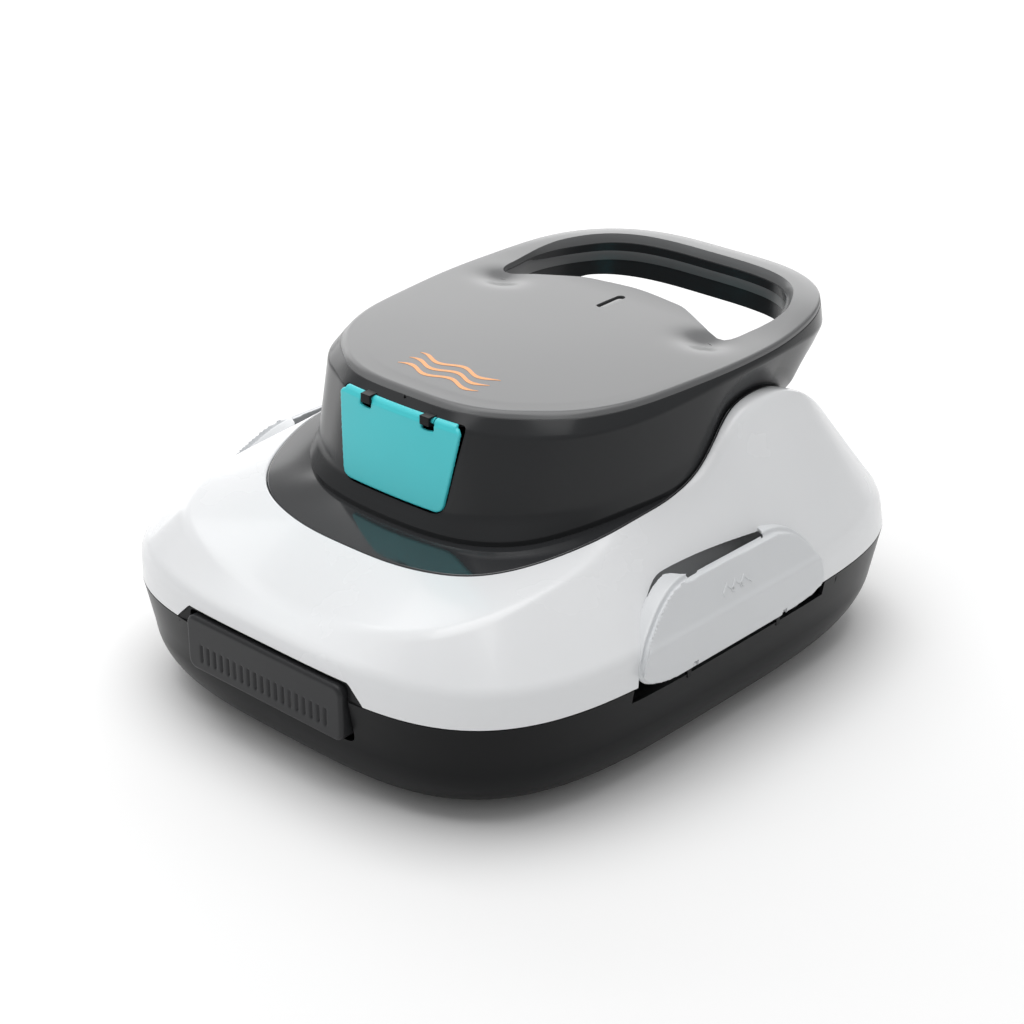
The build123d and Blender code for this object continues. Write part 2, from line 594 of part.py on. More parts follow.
def slab(lo, hi):
    """Layer between two planes parallel to the top panel, offsets in mm from it."""
    y0, y1 = -120.0, 230.0
    return prism_x([(y0, z_at(top_z(y0 / SCALE)) + lo), (y1, z_at(top_z(y1 / SCALE)) + lo),
                    (y1, z_at(top_z(y1 / SCALE)) + hi), (y0, z_at(top_z(y0 / SCALE)) + hi)], -150, 150)


LID = 3.0
GRIP = 12.0
r_handle = cut(box(-140, 140, 90 * SCALE, 230, 60, 230),
               box(-94.2 * SCALE, 94.2 * SCALE, 80 * SCALE, 122 * SCALE, 60, 230))
keep_top = join(slab(-LID, 4), common(slab(-GRIP, 4), r_handle))
top = cut(common(head_outer, keep_top), hand, under)
slot = box(-2.9, 2.9, 75 * SCALE, 100 * SCALE, 150, 230)
slot = slot.fillet(2.85, [e for e in slot.edges() if abs(e.tangent_at(0.5).Z) > 0.9])
top = cut(top, slot)
out("top_cover", top)
lens = common(slot, slab(-LID, -0.6))
out("status_lens", lens)
handle_low = common(head, cut(r_handle, slab(-GRIP, 60)))
housing = cut(head, join(r_handle, slab(-LID, 60)))
out("handle_lower", handle_low)

# front and rear outlet openings in the housing


def flap_poly(g, z0=None, z1=None):
    z0 = FLAP_ZB - g if z0 is None else z0
    z1 = FLAP_ZT + g if z1 is None else z1
    return [(-FLAP_HB - g, z0), (FLAP_HB + g, z0), (FLAP_HT + g, z1), (-FLAP_HT - g, z1)]


housing = cut(housing, prism_y(flap_poly(1.2, z1=FLAP_ZT + 2.8), -140, -60))
R_HT, R_HB, R_ZB = 31.0, 26.0, 133.0                   # rear flap half widths, bottom
r_poly = [(-R_HB - 1.2, R_ZB - 1.2), (R_HB + 1.2, R_ZB - 1.2), (R_HT + 1.2, REAR_HINGE[1] + 2.8),
          (-R_HT - 1.2, REAR_HINGE[1] + 2.8)]
housing = cut(housing, prism_y(r_poly, 85, 125))
out("head_housing", housing)

# glossy deck between the cover's inner edge and the foot of the housing
dE = ring_from(T_INNER, 20.0)
dF = ring_from(T_COLLAR, 20.0)
dE0 = inset(dE, 0.75, 0.2)
dE1 = inset(dE, 0.75, 3.2)
dF0 = [(x, y, z - 3.4) for x, y, z in inset(dF, -0.4)]
dF0 = [(min(abs(p[0]), abs(q[0]) - 0.25 if abs(q[0]) > 1 else 0) * (1 if p[0] >= 0 else -1), p[1],
        min(p[2], q[2] + 12)) for p, q in zip(dF0, dE0)]
dI0 = inset(dF, 4.0)
dI0 = [(x, y, z - 3.4) for x, y, z in dI0]
dI1 = [(x, y, z - 3.0) for x, y, z in dI0]
deck = ring_solid([dE0, dI0, dI1, dE1])
deck = cut(deck, head_outer)
out("deck_trim", max(solids(deck), key=lambda sd: sd.volume))

# floor of the well under the handle, with bosses for the button and the charge socket
BTN = (-54.0, 118.0)
SOC = (54.0, 118.0)
WELL_Z = z_at(53.0)
well = common(hand, box(-100, 100, 90, 141 * SCALE, WELL_Z, WELL_Z + 3.0))
CAP_HINGE = (SOC[0] + 13.6, 123.6)
ears = [box(SOC[0] + 8, SOC[0] + 15.6, SOC[1] + y0, SOC[1] + y0 + 2.6, WELL_Z + 1, 125.6)
        for y0 in (-6.9, 4.3)]
well = join(well, cyl_z(11, WELL_Z + 1, 122, *BTN), cyl_z(11, WELL_Z + 1, 121.6, *SOC), *ears)
well = cut(well, cyl_z(8.3, 116.6, 130, *BTN), cyl_z(7.0, 115.6, 121.7, *SOC),
           cyl_y(1.2 + RUN, SOC[1] - 9, SOC[1] + 9, *CAP_HINGE),
           cyl_z(10.9, 121.6, 130, *SOC))
out("well_floor", well)
button = join(cyl_z(7.9, 118.4, 124.2, *BTN), cyl_z(3.0, 116.75 + BUTTON_TRAVEL, 119, *BTN))
out("power_button", button)
socket = cut(cyl_z(7.0, 115.6, 121.6, *SOC), cyl_z(4.6, 116.8, 122, *SOC))
out("charge_socket", join(socket, cyl_z(0.9, 116.5, 120.4, *SOC)))
cap = join(cyl_z(10.5, 121.8, 124.2, *SOC), box(SOC[0], CAP_HINGE[0], SOC[1] - 3.9, SOC[1] + 3.9, 122.4, 124.2),
           cyl_y(1.2, SOC[1] - 7.2, SOC[1] + 7.2, *CAP_HINGE),
           box(SOC[0] - 13.2, SOC[0] - 8, SOC[1] - 3, SOC[1] + 3, 122.8, 124.2))
out("charge_cap", cap)

# outlet flaps: a plate with a hinge rod along its top edge, held by two clips
CLIP_X = 22.6


def flap_plate(zb, zt, hb, ht, y_in, lean, rod_half):
    """Plate hanging from (y_in, zt), its outer side towards -Y."""
    pl = prism_y([(-hb, zb), (hb, zb), (ht, zt), (-ht, zt)], y_in - FLAP_T, y_in)
    pl = pl.fillet(6.0, [e for e in pl.edges() if abs(e.tangent_at(0.5).Y) > 0.9
                         and e.center().Z < zb + 2])
    pl = pl.fillet(3.0, [e for e in pl.edges() if abs(e.tangent_at(0.5).Y) > 0.9
                         and e.center().Z > zt - 1])
    cx = CLIP_X if ht > 40 else 17.0
    pl = cut(pl, *[box(sx * cx - 4.3, sx * cx + 4.3, y_in - 9, y_in + 9, zt - 5.4, zt + 5)
                   for sx in (-1, 1)])
    pl = pl.rotate(Axis((0, y_in, zt), (1, 0, 0)), -lean)
    return join(pl, cyl_x(1.5, -rod_half, rod_half, y_in - 1.3, zt + 0.5)), cx


def clips(cx, y_rod, z_rod, top):
    res = []
    for sx in (-1, 1):
        c = box(sx * cx - 3.5, sx * cx + 3.5, y_rod - 3.1, y_rod + 3.6, z_rod - 3.0, top)
        res.append(cut(c, cyl_x(1.5 + RUN, sx * cx - 5, sx * cx + 5, y_rod, z_rod)))
    return res


flap, cx = flap_plate(FLAP_ZB, FLAP_ZT, FLAP_HB, FLAP_HT, FRONT_HINGE[0] + 1.3, FLAP_LEAN,
                      40.0)
out("outlet_flap_front", flap)
out("flap_clips_front", clips(cx, FRONT_HINGE[0], FRONT_HINGE[1], FLAP_ZT + 2.7))
flap, cx = flap_plate(R_ZB, REAR_HINGE[1] - 0.5, R_HB, R_HT, -REAR_HINGE[0] + 1.3, 3.0, 28.0)
out("outlet_flap_rear", mirror_y(flap))
out("flap_clips_rear", [mirror_y(c) for c in clips(cx, -REAR_HINGE[0], REAR_HINGE[1],
                                                   REAR_HINGE[1] + 2.7)])


# jet ducts, round at the propeller and flap shaped at the mouth
def duct_ring(r, y):
    return [(r * math.sin(2 * math.pi * i / N), y, JET_Z + r * math.cos(2 * math.pi * i / N))
            for i in range(N)]


def mouth_ring(zb, zt, hb, ht, y_top, slope, g):
    res = []
    zc, hz = (zb + zt) / 2, (zt - zb) / 2 + g
    for i in range(N):
        c, sn = math.cos(2 * math.pi * i / N), math.sin(2 * math.pi * i / N)
        k = (abs(c) ** 6 + abs(sn) ** 6) ** (-1 / 6)
        u, v = sn * k, c * k
        z = zc + hz * v
        hw = hb + (ht - hb) * (v + 1) / 2 + g
        res.append((hw * u, y_top + slope * (zt - z), z))
    return res


def duct(y_in, y_mid, mouth):
    return ring_solid([duct_ring(JET_R + 1.8, y_in), duct_ring(JET_R + 1.8, y_mid), mouth(1.8),
                       mouth(0.0), duct_ring(JET_R, y_mid), duct_ring(JET_R, y_in)], raw=True)


out("outlet_duct_front", duct(-28.0, -50.0, lambda g: mouth_ring(
    133.0, 173.0, FLAP_HB - 5, FLAP_HT - 6, -93.2,
    -math.tan(math.radians(FLAP_LEAN)), g)))
out("outlet_duct_rear", duct(36.0, 58.0, lambda g: mouth_ring(
    137.5, 167.5, R_HB - 4.5, R_HT - 5.5, 104.9, math.tan(math.radians(3.0)), g)))

# motor pod
y0, y1 = MOTOR_Y - 20.0, MOTOR_Y + 20.0
out("motor_housing", cut(cyl_y(20, y0, y1, 0, JET_Z), cyl_y(18, y0 - 1, y1 + 1, 0, JET_Z)))
caps = []
for ya, yb in ((y0 - 6, y0), (y1, y1 + 6)):
    capm = cut(cyl_y(20, ya, yb, 0, JET_Z), cyl_y(5, ya - 1, yb + 1, 0, JET_Z))
    caps.append(capm)
out("motor_caps", caps)
out("shaft_bearings", [cut(cyl_y(5, a, a + 4, 0, JET_Z), cyl_y(SHAFT_R + 0.04, a - 1, a + 5, 0, JET_Z))
                       for a in (y0 - 4, y1)])
out("shaft_seals", [cut(cyl_y(5, a, a + 2, 0, JET_Z), cyl_y(SHAFT_R + 0.08, a - 1, a + 3, 0, JET_Z))
                    for a in (y0 - 6, y1 + 4)])
out("stator", cut(cyl_y(18, y0 + 6, y1 - 6, 0, JET_Z), cyl_y(13, y0 + 5, y1 - 5, 0, JET_Z)))
out("drive_shaft", cyl_y(SHAFT_R, MOTOR_Y - 49, MOTOR_Y + 49, 0, JET_Z))
out("rotor", cut(cyl_y(12.2, y0 + 7, y1 - 7, 0, JET_Z), cyl_y(SHAFT_R, y0 + 5, y1 - 5, 0, JET_Z)))
for fn, yc, tw in (("front", MOTOR_Y - 41, 35), ("rear", MOTOR_Y + 41, -35)):
    blades = []
    for k in range(3):
        bl = Solid.make_box(1.6, 12.0, 19.0, Plane((-0.8, -6.0, 4.5)))
        bl = bl.rotate(Axis((0, 0, 0), (0, 0, 1)), tw)
        bl = bl.moved(Location((0, yc, JET_Z)))
        blades.append(bl.rotate(Axis((0, yc, JET_Z), (0, 1, 0)), 120 * k))
    prop = common(join(cyl_y(6.5, yc - 7, yc + 7, 0, JET_Z), *blades),
                  cyl_y(PROP_R, yc - 7, yc + 7, 0, JET_Z))
    out(f"propeller_{fn}", cut(prop, cyl_y(SHAFT_R, yc - 9, yc + 9, 0, JET_Z)))
cradle = join(box(-16, 16, -14, 22, 115.2, 118.2), box(-15, 15, -12, -8, 118, 142),
              box(-15, 15, 16, 20, 118, 142))
out("motor_cradle", cut(cradle, cyl_y(20.0, -30, 40, 0, JET_Z)))

# pump deck under the motor, with intake windows and their grille
deck_pts = inset([(x, y, 0.0) for x, y in full(V_LOW)], 1.8)
pdeck = prism_z([(x * SCALE, y * SCALE) for x, y, _ in deck_pts], 112.2, 115.2)
windows = [box(a, b, -32, 40, 100, 130) for a, b in ((-34, -17), (17, 34))]
screw_xy = [(sx * 80.0, y) for sx in (-1, 1) for y in (-30.0, 36.0)]
pdeck = cut(pdeck, *windows, *[cyl_z(1.6, 100, 130, x, y) for x, y in screw_xy])
out("pump_deck", pdeck)
grille = []
for a, b in ((-35.5, -15.5), (15.5, 35.5)):
    g = cut(box(a, b, -34, 42, 110.4, 112.2), *[box(a + 2.5, b - 2.5, y, y + 3.2, 100, 130)
                                               for y in [-31.5 + 5.2 * i for i in range(14)]])
    grille.append(g)
out("intake_grille", grille)

# sealed battery and electronics cases on the deck
for nm, xa, xb, zt in (("battery_case", -84, -38, 164), ("electronics_case", 38, 84, 146)):
    c = cut(box(xa, xb, -36, 42, 115.2, zt), box(xa + 2, xb - 2, -34, 40, 118.2, zt + 1))
    c = cut(c, *[cyl_z(1.6, 100, 130, x, y) for x, y in screw_xy])
    out(nm, c)
out("case_lids", [box(-84, -38, -36, 42, 164, 166), box(38, 84, -36, 42, 146, 148)])
out("battery_cells", [cyl_y(9.2, -30, 36, x, z) for x in (-71.5, -50.5) for z in (129.5, 150.5)])
board = join(box(41, 81, -32, 38, 124, 125.6), box(46, 60, -20, -4, 125.6, 128.4),
             box(62, 70, 4, 12, 125.6, 133), box(48, 54, 14, 28, 125.6, 137),
             cyl_z(4, 125.6, 138, 72, -18), cyl_z(2.5, 118.2, 124, 44, -29),
             cyl_z(2.5, 118.2, 124, 78, -29), cyl_z(2.5, 118.2, 124, 44, 35),
             cyl_z(2.5, 118.2, 124, 78, 35))
out("control_board", board)
out("deck_screws", [join(cyl_z(3.0, 109.9, 112.2, x, y), cyl_z(1.6, 112.2, 118.2, x, y))
                    for x, y in screw_xy])

# screws that clamp the two halves of the grip bar
gx, gy = 40.0 * SCALE, 199.5 * SCALE
gz = z_at(top_z(199.5)) - GRIP
out("handle_lower", cut(NODES["handle_lower"], *[cyl_z(3.8, 150, gz - 8, sx * gx, gy) for sx in (-1, 1)],
                        *[cyl_z(1.6, gz - 9, gz + 2, sx * gx, gy) for sx in (-1, 1)]))
out("top_cover", cut(NODES["top_cover"], *[cyl_z(1.6, gz - 2, gz + 7, sx * gx, gy) for sx in (-1, 1)]))
out("handle_screws", [join(cyl_z(3.4, gz - 10.5, gz - 8, sx * gx, gy),
                           cyl_z(1.6, gz - 8, gz + 6.8, sx * gx, gy)) for sx in (-1, 1)])

# ---------------------------------------------------------------------------
for name, shape in NODES.items():
    export_step(shape, f"parts/{name}.step")
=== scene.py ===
import json
import math
import bpy
import bmesh
import numpy as np
from mathutils import Matrix, Vector


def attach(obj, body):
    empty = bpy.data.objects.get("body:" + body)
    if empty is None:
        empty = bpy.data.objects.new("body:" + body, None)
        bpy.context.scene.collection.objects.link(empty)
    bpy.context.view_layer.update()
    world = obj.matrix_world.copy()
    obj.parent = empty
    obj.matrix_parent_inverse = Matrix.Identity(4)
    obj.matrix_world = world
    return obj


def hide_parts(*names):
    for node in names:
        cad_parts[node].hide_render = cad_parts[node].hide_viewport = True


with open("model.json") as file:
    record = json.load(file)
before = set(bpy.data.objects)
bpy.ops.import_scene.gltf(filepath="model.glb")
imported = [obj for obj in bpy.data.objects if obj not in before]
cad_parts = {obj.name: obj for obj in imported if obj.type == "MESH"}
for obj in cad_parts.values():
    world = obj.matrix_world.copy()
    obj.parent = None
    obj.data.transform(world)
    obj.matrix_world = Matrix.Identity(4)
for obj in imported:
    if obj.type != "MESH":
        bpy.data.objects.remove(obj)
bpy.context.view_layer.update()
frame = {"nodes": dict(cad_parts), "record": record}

nodes = frame["nodes"]
scene = bpy.context.scene
scene.view_settings.view_transform = "Standard"

# hull tables: units of 1/430 of the hull length, z = 0 on the parting line
K = 0.4 / 430.0
Z0 = 0.003 + 65.85 * K
W = 2.6e-3 / K

T_CREASE = [(0, -191, 26.5), (46, -191, 30.5), (80, -190.5, 38), (104, -184, 44.5),
            (121, -167, 50), (130, -143, 54.5), (132.5, -112, 57.5), (132, -70, 61.5),
            (131.5, -32, 64.5), (131, 0, 69.5), (131, 24, 80), (130.5, 42, 97),
            (130, 55, 107.5), (129.5, 80, 110.5), (128.5, 108, 107.5), (125, 137, 91),
            (116, 163, 68), (100, 181, 50), (78, 189, 39), (45, 191, 30.5), (0, 191, 26.5)]
T_INNER = [(0, -147, 49.5), (35, -146, 49.8), (62, -141, 51), (85, -133, 53.5),
           (100, -120.5, 56.5), (110.5, -104, 59.5), (117.5, -87, 62.3), (124, -64, 66),
           (126, -35, 69), (126.5, -3, 72), (126, 22, 80.5), (124.5, 39, 95.5),
           (122, 52, 107), (119, 78, 110.5), (115, 105, 105.5), (108, 130, 94),
           (97, 146, 80), (80, 154, 66), (58, 157, 56), (32, 158, 51), (0, 158, 50)]
T_COLLAR = [(0, -116, 58), (30, -115.2, 58.5), (52, -112.5, 59.5), (65, -109, 60.5),
            (76, -103, 61), (87, -96, 62.5), (95, -88, 64), (104, -74, 66.5),
            (112, -55, 69), (118, -33, 71.5), (122, -10, 73), (124, 5, 75),
            (124, 22, 80.3), (122.3, 39, 95), (119.8, 52, 106.5), (116.8, 78, 110),
            (112.8, 104, 105), (106, 127, 94), (95, 138, 80), (80, 142, 66),
            (58, 144, 58), (0, 145, 56)]
T_SHOULDER = [(0, -103, 121.5), (30, -103, 121.5), (48, -100, 121), (61, -92.5, 120.5),
              (76, -84, 120.3), (90, -75, 121), (103, -60, 121.5), (112, -40, 122),
              (118, -15, 123), (121, 15, 125), (122.5, 45, 127), (123, 72, 128),
              (122.3, 97, 128.5), (119.5, 124, 128), (113.5, 152, 126), (104.5, 172, 124),
              (93.5, 187, 122.5), (75, 201, 121.5), (48.5, 210, 121), (0, 212, 121)]
T_TOP = [(0, -93), (30, -92), (47, -88.5), (64, -81), (77, -71), (89, -61), (99, -48.5),
         (106.5, -33.5), (112, -17), (115.3, 4), (117.8, 26), (120, 48), (121, 72),
         (120.5, 97), (118, 123), (112, 150), (103, 170), (92, 185), (74, 199),
         (48, 208), (0, 210)]
T_HAND = [(0, 116), (28, 113), (44, 110), (57, 103), (69, 95), (80, 87), (89, 84), (94.5, 90),
          (95.5, 104), (97, 118), (94, 136), (86, 155), (74, 172), (58, 181.5), (37, 186),
          (0, 187)]
V_REAR = [(105, 71), (97, 77), (86, 78.5), (76, 83.5), (66, 91), (54, 98.5), (42, 105),
          (28, 108.5), (0, 111)]
V_MID = [(0, -99.3), (30, -99.3), (47, -96.2), (59, -88.8), (74, -80.5), (87.5, -72),
         (99.5, -58), (108, -39), (114, -14.5), (117, 15), (118.3, 38), (115, 58)] + V_REAR
V_TOP = [(0, -89), (30, -88), (47, -84.5), (62, -77.5), (75, -67.5), (86, -57.5),
         (95.5, -46), (103, -31.5), (108.5, -15.5), (111.8, 4), (114, 26), (115, 45),
         (112, 60)] + V_REAR
V_LOW = [(0, -112), (30, -111.2), (50, -109), (62.5, -105.3), (73.5, -99.5), (84, -92.6),
         (91.5, -85), (100.5, -71.5), (108, -53.5), (114, -32.5), (118, -10), (119.5, 8),
         (119.5, 22), (118, 38), (114.5, 58)] + V_REAR
LATCH_OUT = [(-92, 8.5), (-91.5, 12), (-87.5, 20), (-79, 27.5), (-67, 36), (-57, 41.2), (-49, 44.0), (-42, 45.0),
             (34, 44.8), (44, 44.4), (51, 42.4), (58, 39.2), (65.5, 32.3), (71, 25), (75, 17.5), (76.6, 10.5),
             (75.5, 5), (69.5, 1.2), (60, -1.2), (39.8, -2.8), (-50, -3), (-72, -2), (-84, 2), (-90.5, 5.5)]


def top_z(y):
    return 131.6 + 0.0221 * (y + 93.0)


def smooth(points, m=16):
    P = np.array(points, float)
    n = len(P)
    res = []
    for i in range(n):
        p0, p1, p2, p3 = P[i - 1], P[i], P[(i + 1) % n], P[(i + 2) % n]
        t0 = 0.0
        t1 = t0 + max(np.linalg.norm(p1 - p0), 1e-6) ** 0.5
        t2 = t1 + max(np.linalg.norm(p2 - p1), 1e-6) ** 0.5
        t3 = t2 + max(np.linalg.norm(p3 - p2), 1e-6) ** 0.5
        s = (t1 + (t2 - t1) * np.arange(m) / m)[:, None]
        a1 = (t1 - s) / (t1 - t0) * p0 + (s - t0) / (t1 - t0) * p1
        a2 = (t2 - s) / (t2 - t1) * p1 + (s - t1) / (t2 - t1) * p2
        a3 = (t3 - s) / (t3 - t2) * p2 + (s - t2) / (t3 - t2) * p3
        b1 = (t2 - s) / (t2 - t0) * a1 + (s - t0) / (t2 - t0) * a2
        b2 = (t3 - s) / (t3 - t1) * a2 + (s - t1) / (t3 - t1) * a3
        res.append((t2 - s) / (t2 - t1) * b1 + (s - t1) / (t2 - t1) * b2)
    return np.vstack(res)


def full(half):
    h = [tuple(p) if len(p) == 3 else (p[0], p[1], 0.0) for p in half]
    return h + [(-p[0], p[1], p[2]) for p in h[-2:0:-1]]


def soften(r, times):
    """Average each point with its neighbours round a ring."""
    for _ in range(times):
        r = 0.5 * r + 0.25 * (np.roll(r, 1, 0) + np.roll(r, -1, 0))
    return r


def ring(half, cy=0.0, zc=None, n=288, relax=14):
    d = smooth(full(half))
    d = np.vstack([d, d[:1]])
    a = np.unwrap(np.arctan2(d[:, 1] - cy, d[:, 0]) + math.pi / 2)
    a -= a[0]
    want = 2 * math.pi * np.arange(n) / n
    r = np.stack([np.interp(want, a, d[:, k]) for k in range(3)], 1)
    r = soften(r, relax)
    r = (r + np.roll(r[::-1], 1, 0) * np.array([-1, 1, 1])) / 2
    if zc is not None:
        r[:, 2] = zc(r[:, 1]) if callable(zc) else zc
    return r


def oval(a, b, nf, nr, z, n=288):
    ph = -math.pi / 2 + 2 * math.pi * np.arange(n) / n
    c, s = np.abs(np.cos(ph)), np.abs(np.sin(ph))
    e = np.where(np.sin(ph) < 0, nf, nr)
    r = ((c / a) ** e + (s / b) ** e) ** (-1 / e)
    return np.stack([r * np.cos(ph), r * np.sin(ph), np.full(n, float(z))], 1)


def inset(r, d, dz=0.0):
    t = np.roll(r, -1, 0) - np.roll(r, 1, 0)
    t = t[:, :2] / np.linalg.norm(t[:, :2], axis=1)[:, None]
    o = r.copy()
    d = np.broadcast_to(d, len(r))
    o[:, 0] -= t[:, 1] * d
    o[:, 1] += t[:, 0] * d
    o[:, 2] -= dz
    return o


def rounded(rings, radii, seg=6, closed=False):
    """Round the profile at each ring by a parabola reaching radius r along both sides."""
    res = []
    n = len(rings)
    for i, (r, rad) in enumerate(zip(rings, radii)):
        if rad <= 0 or (not closed and i in (0, n - 1)):
            res.append(r)
            continue
        p, q = rings[i - 1], rings[(i + 1) % n]
        lp = np.linalg.norm(p - r, axis=1)[:, None]
        lq = np.linalg.norm(q - r, axis=1)[:, None]
        a = r + (p - r) * np.minimum(rad / np.maximum(lp, 1e-9), 0.48)
        b = r + (q - r) * np.minimum(rad / np.maximum(lq, 1e-9), 0.48)
        for k in range(seg + 1):
            t = k / seg
            res.append((1 - t) ** 2 * a + 2 * t * (1 - t) * r + t * t * b)
    return res


def to_m(r):
    o = np.array(r, float) * K
    o[:, 2] += Z0
    return o


def make(name, verts, faces, body=None, sharp=35.0):
    me = bpy.data.meshes.new(name)
    me.from_pydata([tuple(v) for v in verts], [], faces)
    me.validate()
    o = bpy.data.objects.new(name, me)
    scene.collection.objects.link(o)
    bm = bmesh.new()
    bm.from_mesh(me)
    bmesh.ops.recalc_face_normals(bm, faces=bm.faces)
    if bm.calc_volume() < 0:
        bmesh.ops.reverse_faces(bm, faces=bm.faces)
    bm.to_mesh(me)
    bm.free()
    shade(o, sharp)
    if body:
        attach(o, body)
    return o


def shade(o, angle=35.0):
    me = o.data
    bm = bmesh.new()
    bm.from_mesh(me)
    lim = math.radians(angle)
    for f in bm.faces:
        f.smooth = True
    for e in bm.edges:
        e.smooth = not (len(e.link_faces) == 2 and e.calc_face_angle(0.0) > lim)
    bm.to_mesh(me)
    bm.free()


def loft(name, rings, cap0=False, cap1=False, closed=False, body=None, raw=False, sharp=35.0):
    R = [r if raw else to_m(r) for r in rings]
    n = len(R[0])
    V = np.vstack(R)
    F = []
    m = len(R)
    for j in range(m if closed else m - 1):
        a, b = j * n, ((j + 1) % m) * n
        for i in range(n):
            k = (i + 1) % n
            F.append((a + i, a + k, b + k, b + i))
    if cap0:
        F.append(tuple(range(n)))
    if cap1:
        F.append(tuple((m - 1) * n + i for i in range(n - 1, -1, -1)))
    return make(name, V, F, body, sharp)


def prism(name, pts, axis, lo, hi):
    """Prism in metres. axis 0: pts are (y, z); 1: (x, z); 2: (x, y)."""
    n = len(pts)
    V = []
    for c in (lo, hi):
        for p in pts:
            v = [p[0], p[1]]
            v.insert(axis, c)
            V.append(v)
    F = [tuple(range(n)), tuple(range(2 * n - 1, n - 1, -1))]
    F += [(i, (i + 1) % n, n + (i + 1) % n, n + i) for i in range(n)]
    return make(name, V, F)


def boxm(name, a, b):
    return prism(name, [(a[0], a[1]), (b[0], a[1]), (b[0], b[1]), (a[0], b[1])], 2, a[2], b[2])


def boolean(o, cutters, op="DIFFERENCE", keep=False):
    spare = o.data.copy()
    for c in cutters:
        m = o.modifiers.new("b", "BOOLEAN")
        m.operation = op
        m.solver = "EXACT"
        m.object = c
    apply(o)
    if len(o.data.vertices) < 8:
        o.data = spare
    else:
        bpy.data.meshes.remove(spare)
    for c in cutters:
        if not keep:
            me = c.data
            bpy.data.objects.remove(c)
            bpy.data.meshes.remove(me)


def apply(o):
    dg = bpy.context.evaluated_depsgraph_get()
    dg.update()
    ev = o.evaluated_get(dg)
    me = bpy.data.meshes.new_from_object(ev, preserve_all_data_layers=True, depsgraph=dg)
    old = o.data
    o.modifiers.clear()
    o.data = me
    me.name = old.name
    bpy.data.meshes.remove(old)


def grow(poly, d):
    n = len(poly)
    area = sum(poly[i][0] * poly[(i + 1) % n][1] - poly[(i + 1) % n][0] * poly[i][1] for i in range(n))
    sg = 1 if area > 0 else -1
    res = []
    for i in range(n):
        a, b = poly[i - 1], poly[(i + 1) % n]
        tx, ty = b[0] - a[0], b[1] - a[1]
        L = math.hypot(tx, ty)
        res.append((poly[i][0] + sg * ty / L * d, poly[i][1] - sg * tx / L * d))
    return res


def soft_copy(name, node, body, voxel, smooth_n, bend=None, factor=0.5):
    """A finely remeshed copy of a CAD node with its edges softened."""
    o = bpy.data.objects.new(name, nodes[node].data.copy())
    scene.collection.objects.link(o)
    o.data.materials.clear()
    bm = bmesh.new()
    bm.from_mesh(o.data)
    bmesh.ops.remove_doubles(bm, verts=bm.verts, dist=1e-6)
    bm.to_mesh(o.data)
    bm.free()
    m = o.modifiers.new("r", "REMESH")
    m.mode = "VOXEL"
    m.voxel_size = voxel
    m.use_smooth_shade = True
    m = o.modifiers.new("s", "SMOOTH")
    m.factor = factor
    m.iterations = smooth_n
    apply(o)
    if bend:
        me = o.data
        co = np.empty(len(me.vertices) * 3)
        me.vertices.foreach_get("co", co)
        co = bend(co.reshape(-1, 3))
        me.vertices.foreach_set("co", co.ravel())
        me.update()
    shade(o, 60)
    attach(o, body)
    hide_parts(node)
    return o


def mirrored(o, name, body, node=None):
    c = bpy.data.objects.new(name, o.data.copy())
    scene.collection.objects.link(c)
    c.data.transform(Matrix.Scale(-1, 4, (1, 0, 0)))
    c.data.flip_normals()
    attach(c, body)
    if node:
        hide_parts(node)
    return c


# ---------------------------------------------------------------- materials
def mat(name, color, rough, bump=0.0, scale=600.0, metal=0.0, coat=0.0, spec=0.5, var=0.04,
        rvar=0.06, ior=1.5, trans=0.0, sheen=0.0, alpha=1.0):
    m = bpy.data.materials.new(name)
    m.use_nodes = True
    nt = m.node_tree
    p = nt.nodes["Principled BSDF"]
    p.inputs["Metallic"].default_value = metal
    p.inputs["IOR"].default_value = ior
    p.inputs["Specular IOR Level"].default_value = spec
    p.inputs["Coat Weight"].default_value = coat
    p.inputs["Coat Roughness"].default_value = 0.06
    p.inputs["Transmission Weight"].default_value = trans
    tc = nt.nodes.new("ShaderNodeTexCoord")
    n1 = nt.nodes.new("ShaderNodeTexNoise")
    n1.inputs["Scale"].default_value = 14.0
    n1.inputs["Detail"].default_value = 4.0
    nt.links.new(tc.outputs["Object"], n1.inputs["Vector"])
    cr = nt.nodes.new("ShaderNodeValToRGB")
    lo = [c * (1 - var) for c in color[:3]] + [1]
    hi = [min(1, c * (1 + var)) for c in color[:3]] + [1]
    cr.color_ramp.elements[0].color = lo
    cr.color_ramp.elements[1].color = hi
    cr.color_ramp.elements[0].position = 0.3
    cr.color_ramp.elements[1].position = 0.7
    nt.links.new(n1.outputs["Fac"], cr.inputs["Fac"])
    nt.links.new(cr.outputs["Color"], p.inputs["Base Color"])
    n2 = nt.nodes.new("ShaderNodeTexNoise")
    n2.inputs["Scale"].default_value = scale
    n2.inputs["Detail"].default_value = 3.0
    nt.links.new(tc.outputs["Object"], n2.inputs["Vector"])
    mr = nt.nodes.new("ShaderNodeMapRange")
    mr.inputs["To Min"].default_value = max(0.02, rough - rvar)
    mr.inputs["To Max"].default_value = min(1.0, rough + rvar)
    nt.links.new(n1.outputs["Fac"], mr.inputs["Value"])
    nt.links.new(mr.outputs["Result"], p.inputs["Roughness"])
    if bump > 0:
        b = nt.nodes.new("ShaderNodeBump")
        b.inputs["Strength"].default_value = 0.25
        b.inputs["Distance"].default_value = bump
        nt.links.new(n2.outputs["Fac"], b.inputs["Height"])
        nt.links.new(b.outputs["Normal"], p.inputs["Normal"])
    return m


